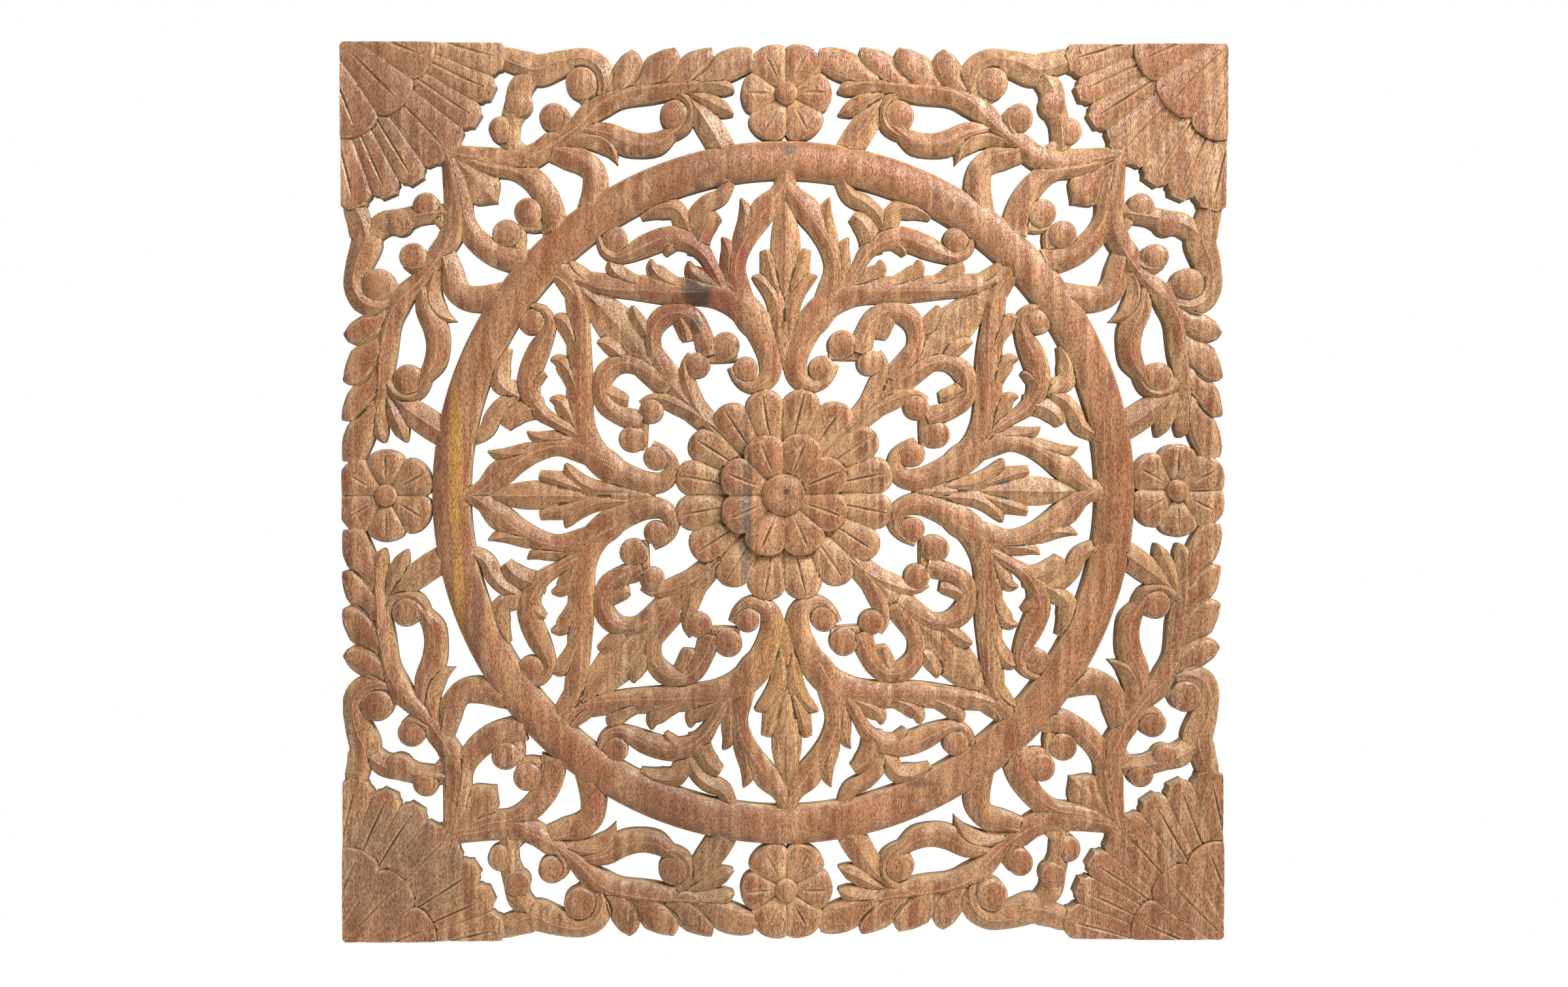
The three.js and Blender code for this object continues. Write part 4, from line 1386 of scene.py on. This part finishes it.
class Grain:
    """The figure of the wood: long streaks, broad bands, and open pores, all upright."""

    # Each figure: how often it changes along each axis, its detail, its roughness and its distortion, and the
    # levels of the noise between which it comes up.
    STREAKS = (((110.0, 110.0, 8.0), 5.0, 0.75), (0.34, 0.66))
    BANDS = (((26.0, 26.0, 2.2), 3.0, 0.6, 0.5), (0.38, 0.64))
    PATCHES = (((48.0, 48.0, 20.0), 3.0, 0.6), (0.40, 0.66))
    # Small and large pores, and the radius of a pore as a share of its cell, from full to none.
    PORES = ((2700.0, 2700.0, 240.0), (1700.0, 1700.0, 150.0))
    PORE_RADIUS = (0.23, 0.45)
    # Dark streaks have more open pores: the share in the darkest, and how much fewer are in the lightest.
    PORES_IN_DARK = 1.45
    FEWER_IN_LIGHT = -0.9

    def group(self) -> Tree:
        """A group that puts out the streaks, the bands, the patches and the pores, each from 0 to 1."""
        outputs = ("Streaks", "Bands", "Patches", "Pores")
        maker, start = shader_group("grain", {"Place": "NodeSocketVector", "Pores shown": "NodeSocketFloat"},
                                    dict.fromkeys(outputs, "NodeSocketFloat"))
        place, shown = start.outputs[0], start.outputs[1]
        streaks, bands, patches = (
            maker.ranged(maker.noise(place, *figure), *levels)
            for figure, levels in (self.STREAKS, self.BANDS, self.PATCHES)
        )
        pores = None
        thinned = maker.maths("MULTIPLY_ADD", streaks, self.FEWER_IN_LIGHT, self.PORES_IN_DARK)
        shown = maker.maths("MULTIPLY", shown, thinned)
        for scale in self.PORES:
            cells = maker.node("ShaderNodeTexVoronoi", {"Vector": maker.scaled(place, scale), "Scale": 1.0})
            pit = maker.ranged(cells.outputs["Distance"], *self.PORE_RADIUS, 1.0, 0.0)
            chance = maker.node("ShaderNodeSeparateColor", {0: cells.outputs["Color"]}).outputs[0]
            open_pit = maker.maths("MULTIPLY", pit, maker.maths("LESS_THAN", chance, shown))
            pores = open_pit if pores is None else maker.maths("MAXIMUM", pores, open_pit)
        maker.node("NodeGroupOutput", {0: streaks, 1: bands, 2: patches, 3: pores})
        return maker.tree


@dataclass(frozen=True)
class Stain:
    """A patch of another colour in the wood.

    Args:
        centre: its middle (x, z), in millimetres.
        size: its half width and half height.
        tint: its colour.
        strength: how much of it shows.
        until: where the next board cuts it off on the right.
    """

    centre: Point
    size: Point
    tint: Colour
    strength: float = 0.7
    until: float = 1000.0


DARK_KNOT = colour(78, 54, 40)
RED_HEART = colour(160, 86, 58)
GREY_SPOT = colour(112, 92, 78)
GREY_WASH = colour(160, 132, 110)
# A painted sheen: a greyish reflection, put in as a stain.
GREY_SHEEN = colour(140, 120, 106)
YELLOW = colour(214, 158, 76)
BROWN_WASH = colour(150, 104, 72)

STAINS = (
    Stain((-68, 228), (36, 52), RED_HEART, 0.8, -32.4),
    Stain((-108, 182), (24, 20), RED_HEART, 0.5),
    Stain((-90, 206), (17, 17), DARK_KNOT, 0.95),
    Stain((-44, 150), (6, 6), DARK_KNOT, 0.9),
    Stain((-90, 172), (7, 11), DARK_KNOT, 0.6),
    Stain((5, 348), (7, 6), GREY_SPOT, 0.75),
    Stain((-13, 350), (5, 5), GREY_SPOT, 0.4),
    Stain((154, 304), (4, 8), DARK_KNOT, 0.6),
    Stain((168, 294), (3, 8), DARK_KNOT, 0.5),
    Stain((135, -295), (15, 5), DARK_KNOT, 0.55),
    Stain((-38, 10), (5, 58), DARK_KNOT, 0.5, -32.4),
    # Painted sheen, not a stain: a greyish reflection on the lower left of the middle flower.
    Stain((-40, -40), (7, 52), GREY_SHEEN, 0.65, -32.4),
    Stain((2, 2), (3.0, 3.6), DARK_KNOT, 0.85),
    Stain((-334, 40), (7, 95), YELLOW, 0.75),
    Stain((-331, -105), (6, 50), YELLOW, 0.75),
    Stain((-311, -125), (6, 60), BROWN_WASH, 0.75),
    Stain((0, -180), (30, 60), YELLOW, 0.3),
    Stain((330, -45), (5, 7), DARK_KNOT, 0.5),
    Stain((-95, -300), (60, 150), BROWN_WASH, 0.35),
    Stain((-400, 400), (95, 60), BROWN_WASH, 0.45),
    Stain((-400, -380), (70, 60), GREY_WASH, 0.4),
)


@dataclass(frozen=True)
class WoodFinish:
    """One finish of the wood.

    Args:
        name: name of the finish.
        dark: colour of the dark streaks.
        light: colour of the light streaks.
        warm: colour of the broad bands.
        patch: colour of the patches where the stain is thin.
        pore: colour of the pores.
        hollow: colour left in the creases, where the stain was cut through.
        crest: colour of the crests: rubbed wood, and partly a painted highlight.
        line: colour of the painted shade at the bottom of a crease.
        deep: colour of the painted shade towards the back.
        pores_shown: share of the pores that is open.
        roughness: roughness of the smooth wood.
        relief: height of the pores and streaks, in millimetres.
    """

    name: str
    dark: Colour
    light: Colour
    warm: Colour
    patch: Colour
    pore: Colour
    hollow: Colour
    crest: Colour
    line: Colour
    deep: Colour
    pores_shown: float
    roughness: float
    relief: float

    # How much the bands, the patches and the pores show.
    BANDED = 0.6
    PATCHED = 0.5
    PITTED = 0.85
    # Levels between which something comes up, and how much it shows at either. By depth in metres: the stain
    # left on top, the thin stain lower down, and painted shade towards the back. By the shape of the carving:
    # pale cut wood in hollows, rubbed wood with a painted highlight on crests, and painted shade in creases.
    TOP = (-17.5 * MM, -14.0 * MM, 0.5, 0.0)
    LOW = (-14.8 * MM, -11.5 * MM, 0.0, 0.7)
    SHADE_TOWARDS_BACK = (-12.0 * MM, -1.0 * MM)
    HOLLOW = (0.0, 0.45, 0.0, 0.6)
    CREST = (0.6, 1.0, 0.0, 0.45)
    CREASE = (0.52, 0.85, 0.0, 0.9)
    # The painted shade in the creases is broken up in places, between these levels of a noise.
    WORN = (0.40, 0.58, 0.25, 1.0)
    # Noises, as how often they change along each axis and their detail: for the depth of the stain, the gaps
    # in the painted crease shade, the edges of the stains, and the waver of the surface.
    UNEVEN = ((140, 140, 40), 3.0)
    UNEVEN_DEPTH = 7.0 * MM
    CREASE_SHADE_GAPS = ((38.0, 38.0, 26.0), 2.0)
    RAGGED = ((90, 90, 30), 2.0)
    WAVER = ((120, 120, 70), 2.0)
    # Heights of the streaks and of the waver, as shares of the relief.
    STREAK_RELIEF = 0.3
    WAVER_RELIEF = 2.0
    # How much rougher pores and patches are.
    PORE_ROUGH = 0.25
    PATCH_ROUGH = 0.10
    # Where the edge of a stain starts and ends, as shares of its half size.
    STAIN_EDGE = (1.15, 1.7)

    def material(self, boards: Tree, grain: Tree) -> Material:
        """Builds the material.

        Args:
            boards: the group with the boards.
            grain: the group with the figure of the wood.

        Returns:
            The material.
        """
        material = bpy.data.materials.new(self.name)
        material.use_nodes = True
        material.node_tree.nodes.clear()
        maker = ShaderMaker(material.node_tree)
        place = maker.node("ShaderNodeTexCoord").outputs["Object"]
        board = maker.node("ShaderNodeGroup", {0: place}, node_tree=boards).outputs
        figure = maker.node("ShaderNodeGroup", {0: board[0], 1: self.pores_shown}, node_tree=grain).outputs
        streaks, _, patches, pores = figure
        height = maker.maths("MULTIPLY", streaks, self.STREAK_RELIEF * self.relief)
        height = maker.maths("MULTIPLY_ADD", pores, -self.relief, height)
        waver = maker.noise(place, *self.WAVER)
        height = maker.maths("MULTIPLY_ADD", waver, self.WAVER_RELIEF * self.relief, height)
        bump = maker.node("ShaderNodeBump", {"Strength": 1.0, "Distance": MM, "Height": height})
        rough = maker.maths("MULTIPLY_ADD", patches, self.PATCH_ROUGH, self.roughness)
        rough = maker.maths("MULTIPLY_ADD", pores, self.PORE_ROUGH, rough)
        tint = self.tinted(maker, place, board[1], figure)
        surface = maker.node("ShaderNodeBsdfPrincipled",
                             {"Base Color": tint, "Roughness": rough, "Normal": bump.outputs[0]})
        maker.node("ShaderNodeOutputMaterial", {0: surface.outputs[0]})
        return material

    def tinted(self, maker: ShaderMaker, place: Socket, tone: Socket, figure: Sequence[Socket]) -> Socket:
        """The colour of the wood: its figure, stain and stains, pale hollows, crests rubbed and with a
        painted highlight, pores, painted shade in the creases and towards the back, then the board's tone.

        Args:
            maker: the tree.
            place: the place on the panel.
            tone: how light the board is.
            figure: the streaks, bands, patches and pores.

        Returns:
            The colour.
        """
        streaks, bands, patches, pores = figure
        hollow, crest = (
            maker.node("ShaderNodeAttribute", attribute_name=name).outputs["Fac"]
            for name in ("hollow", "crest")
        )
        across, depth, _ = maker.node("ShaderNodeSeparateXYZ", {0: place}).outputs
        tint = maker.mixed(streaks, self.dark, self.light)
        tint = maker.mixed(maker.maths("MULTIPLY", bands, self.BANDED), tint, self.warm)
        tint = maker.mixed(maker.maths("MULTIPLY", patches, self.PATCHED), tint, self.patch)
        uneven = maker.maths("MULTIPLY_ADD", maker.noise(place, *self.UNEVEN), self.UNEVEN_DEPTH, depth)
        tint = maker.mixed(maker.ranged(uneven, *self.TOP), tint, self.warm)
        tint = maker.mixed(maker.ranged(uneven, *self.LOW), tint, self.patch)
        ragged = maker.noise(place, *self.RAGGED)
        for stain in STAINS:
            tint = maker.mixed(self.stained(maker, place, across, ragged, stain), tint, stain.tint)
        tint = maker.mixed(maker.ranged(hollow, *self.HOLLOW), tint, self.hollow)
        # Rubbed wood and a painted highlight: the crests are lighter.
        tint = maker.mixed(maker.ranged(crest, *self.CREST), tint, self.crest)
        tint = maker.mixed(maker.maths("MULTIPLY", pores, self.PITTED), tint, self.pore)
        # Painted shade: a dark line along the bottom of each crease, with gaps where a noise breaks it up.
        worn = maker.ranged(maker.noise(place, *self.CREASE_SHADE_GAPS), *self.WORN)
        crease_shade = maker.maths("MULTIPLY", maker.ranged(hollow, *self.CREASE), worn)
        tint = maker.mixed(crease_shade, tint, self.line)
        # Painted shade: darker towards the back of the panel.
        tint = maker.mixed(maker.ranged(depth, *self.SHADE_TOWARDS_BACK), tint, self.deep)
        grey = maker.node("ShaderNodeCombineColor", dict.fromkeys(range(3), tone)).outputs[0]
        return maker.mixed(1.0, tint, grey, "MULTIPLY")

    def stained(self, maker: ShaderMaker, place: Socket, across: Socket, ragged: Socket,
                stain: Stain) -> Socket:
        """How much of a stain shows.

        Args:
            maker: the tree.
            place: the place on the panel.
            across: how far right it lies.
            ragged: the noise that makes the edges of the stains ragged.
            stain: the stain.

        Returns:
            Its share of the colour.
        """
        (x, z), (wide, high) = stain.centre, stain.size
        away = maker.node("ShaderNodeVectorMath", {0: place, 1: (x * MM, 0, z * MM)}, operation="SUBTRACT")
        shares = maker.scaled(away.outputs[0], (1 / (wide * MM), 0, 1 / (high * MM)))
        far = maker.node("ShaderNodeVectorMath", {0: shares}, operation="LENGTH").outputs["Value"]
        edge = maker.maths("ADD", ragged, far)
        shown = maker.ranged(edge, *self.STAIN_EDGE, stain.strength, 0.0)
        return maker.maths("MULTIPLY", shown, maker.maths("LESS_THAN", across, stain.until * MM))


# In both finishes, line and deep are painted shade, in the creases and towards the back, and crest is partly
# a painted highlight.
CARVED_FACE = WoodFinish(
    name="stained_carved_face",
    dark=colour(132, 80, 44), light=colour(234, 190, 144), warm=colour(168, 100, 62),
    patch=colour(216, 170, 118), pore=colour(72, 36, 18), hollow=colour(212, 164, 112),
    crest=colour(238, 194, 154), line=colour(52, 30, 18), deep=colour(104, 72, 48),
    pores_shown=0.9, roughness=0.36, relief=0.22,
)
SAWN_WALL = WoodFinish(
    name="sawn_wall",
    dark=colour(160, 120, 80), light=colour(208, 166, 120), warm=colour(176, 130, 86),
    patch=colour(192, 162, 118), pore=colour(98, 66, 42), hollow=colour(170, 130, 90),
    crest=colour(214, 172, 128), line=colour(70, 48, 32), deep=colour(158, 122, 86),
    pores_shown=0.5, roughness=0.75, relief=0.3,
)


@dataclass(frozen=True)
class Lamp:
    """A soft square light that looks at the panel.

    Args:
        name: its name.
        place: where it stands, in metres.
        size: length of its sides.
        power: its power, in watts.
    """

    name: str
    place: Triple
    size: float
    power: float


@dataclass
class Studio:
    """A pale floor, soft light, and a camera that shows the panel as the photograph does.

    Args:
        camera_away: distance from the camera to what it looks at, in metres.
        camera_turn: how far the view is turned to the side.
        camera_tilt: how far it looks down.
        camera_aside: how far the camera is moved to the right and up, with the lens shifted back as far.
        aim: what it looks at.
        lens: focal length, in millimetres.
        sensor: width of the sensor.
        floor_level: height of the floor, in metres.
        floor_near: how far the floor comes towards the camera.
        floor_far: how far it goes back.
        floor_half: half its width.
        ambient: strength of the light from all round.
        lamps: the lights.
    """

    camera_away: float = 1.70
    camera_turn: float = math.radians(-0.6)
    camera_tilt: float = math.radians(0.9)
    camera_aside: Point = (-0.11, 0.012)
    aim: Triple = (0.0, -0.012, 0.0)
    lens: float = 38.22
    sensor: float = 36.0
    floor_level: float = -0.75
    floor_near: float = -1.6
    floor_far: float = 0.35
    floor_half: float = 1.6
    ambient: float = 0.38
    lamps: tuple[Lamp, ...] = (
        Lamp("key", (1.45, -1.15, 1.7), 0.6, 66), Lamp("window", (0.4, -1.6, 1.2), 0.4, 20),
        Lamp("behind", (0.6, 1.9, 1.1), 0.9, 26),
    )

    PAPER = colour(238, 236, 232)
    PAPER_ROUGHNESS = 0.8
    WHITE = (1, 1, 1, 1)

    def build(self) -> None:
        """Sets up the floor, the lights, the surroundings and the camera."""
        self.floor()
        self.surroundings()
        for lamp in self.lamps:
            self.light(lamp)
        self.camera()

    def floor(self) -> None:
        """A plain pale floor below the panel."""
        half, near, far, level = self.floor_half, self.floor_near, self.floor_far, self.floor_level
        corners = [(-half, near), (half, near), (half, far), (-half, far)]
        mesh = bpy.data.meshes.new("floor")
        mesh.from_pydata([(x, y, level) for x, y in corners], [], [(0, 1, 2, 3)])
        paper = bpy.data.materials.new("pale_floor")
        paper.use_nodes = True
        surface = paper.node_tree.nodes["Principled BSDF"].inputs
        surface["Base Color"].default_value = self.PAPER
        surface["Roughness"].default_value = self.PAPER_ROUGHNESS
        mesh.materials.append(paper)
        piece = bpy.data.objects.new("floor", mesh)
        bpy.context.scene.collection.objects.link(piece)

    def surroundings(self) -> None:
        """Surroundings that look white but light the panel less, and colours shown as they are."""
        world = bpy.data.worlds.new("white_room")
        world.use_nodes = True
        world.node_tree.nodes.clear()
        maker = ShaderMaker(world.node_tree)
        seen = maker.node("ShaderNodeLightPath").outputs["Is Camera Ray"]
        rooms = [
            maker.node("ShaderNodeBackground", {"Color": self.WHITE, "Strength": strength}).outputs[0]
            for strength in (self.ambient, 1.0)
        ]
        both = maker.node("ShaderNodeMixShader", {0: seen, 1: rooms[0], 2: rooms[1]})
        maker.node("ShaderNodeOutputWorld", {0: both.outputs[0]})
        bpy.context.scene.world = world
        bpy.context.scene.view_settings.view_transform = "Standard"

    def light(self, lamp: Lamp) -> None:
        """One of the lights."""
        light = bpy.data.lights.new(lamp.name, "AREA")
        light.size = lamp.size
        light.energy = lamp.power
        piece = bpy.data.objects.new(lamp.name, light)
        piece.location = lamp.place
        piece.rotation_euler = (Vector(self.aim) - Vector(lamp.place)).to_track_quat("-Z", "Y").to_euler()
        bpy.context.scene.collection.objects.link(piece)

    def camera(self) -> None:
        """The camera, moved aside to the left of the middle, with the lens shifted back as far."""
        flat = self.camera_away * math.cos(self.camera_tilt)
        away = Vector((flat * math.sin(self.camera_turn), -flat * math.cos(self.camera_turn),
                       self.camera_away * math.sin(self.camera_tilt)))
        right, up = self.camera_aside
        view_width = self.sensor / self.lens * self.camera_away
        lens = bpy.data.cameras.new("camera")
        lens.lens = self.lens
        lens.sensor_width = self.sensor
        lens.sensor_fit = "HORIZONTAL"
        lens.shift_x = -right / view_width
        lens.shift_y = -up / view_width
        piece = bpy.data.objects.new("camera", lens)
        piece.location = Vector(self.aim) + away + Vector((right, 0, up))
        piece.rotation_euler = (-away).to_track_quat("-Z", "Y").to_euler()
        bpy.context.scene.collection.objects.link(piece)
        bpy.context.scene.camera = piece


def main() -> None:
    """Builds the studio and the panel."""
    logging.basicConfig(level=logging.INFO, format="%(message)s")
    Studio().build()
    boards, grain = Boards().group(), Grain().group()
    finishes = (CARVED_FACE.material(boards, grain), SAWN_WALL.material(boards, grain))
    CarvedPanel(Bench(finishes[0]), finishes).build()


if __name__ == "__main__":
    main()
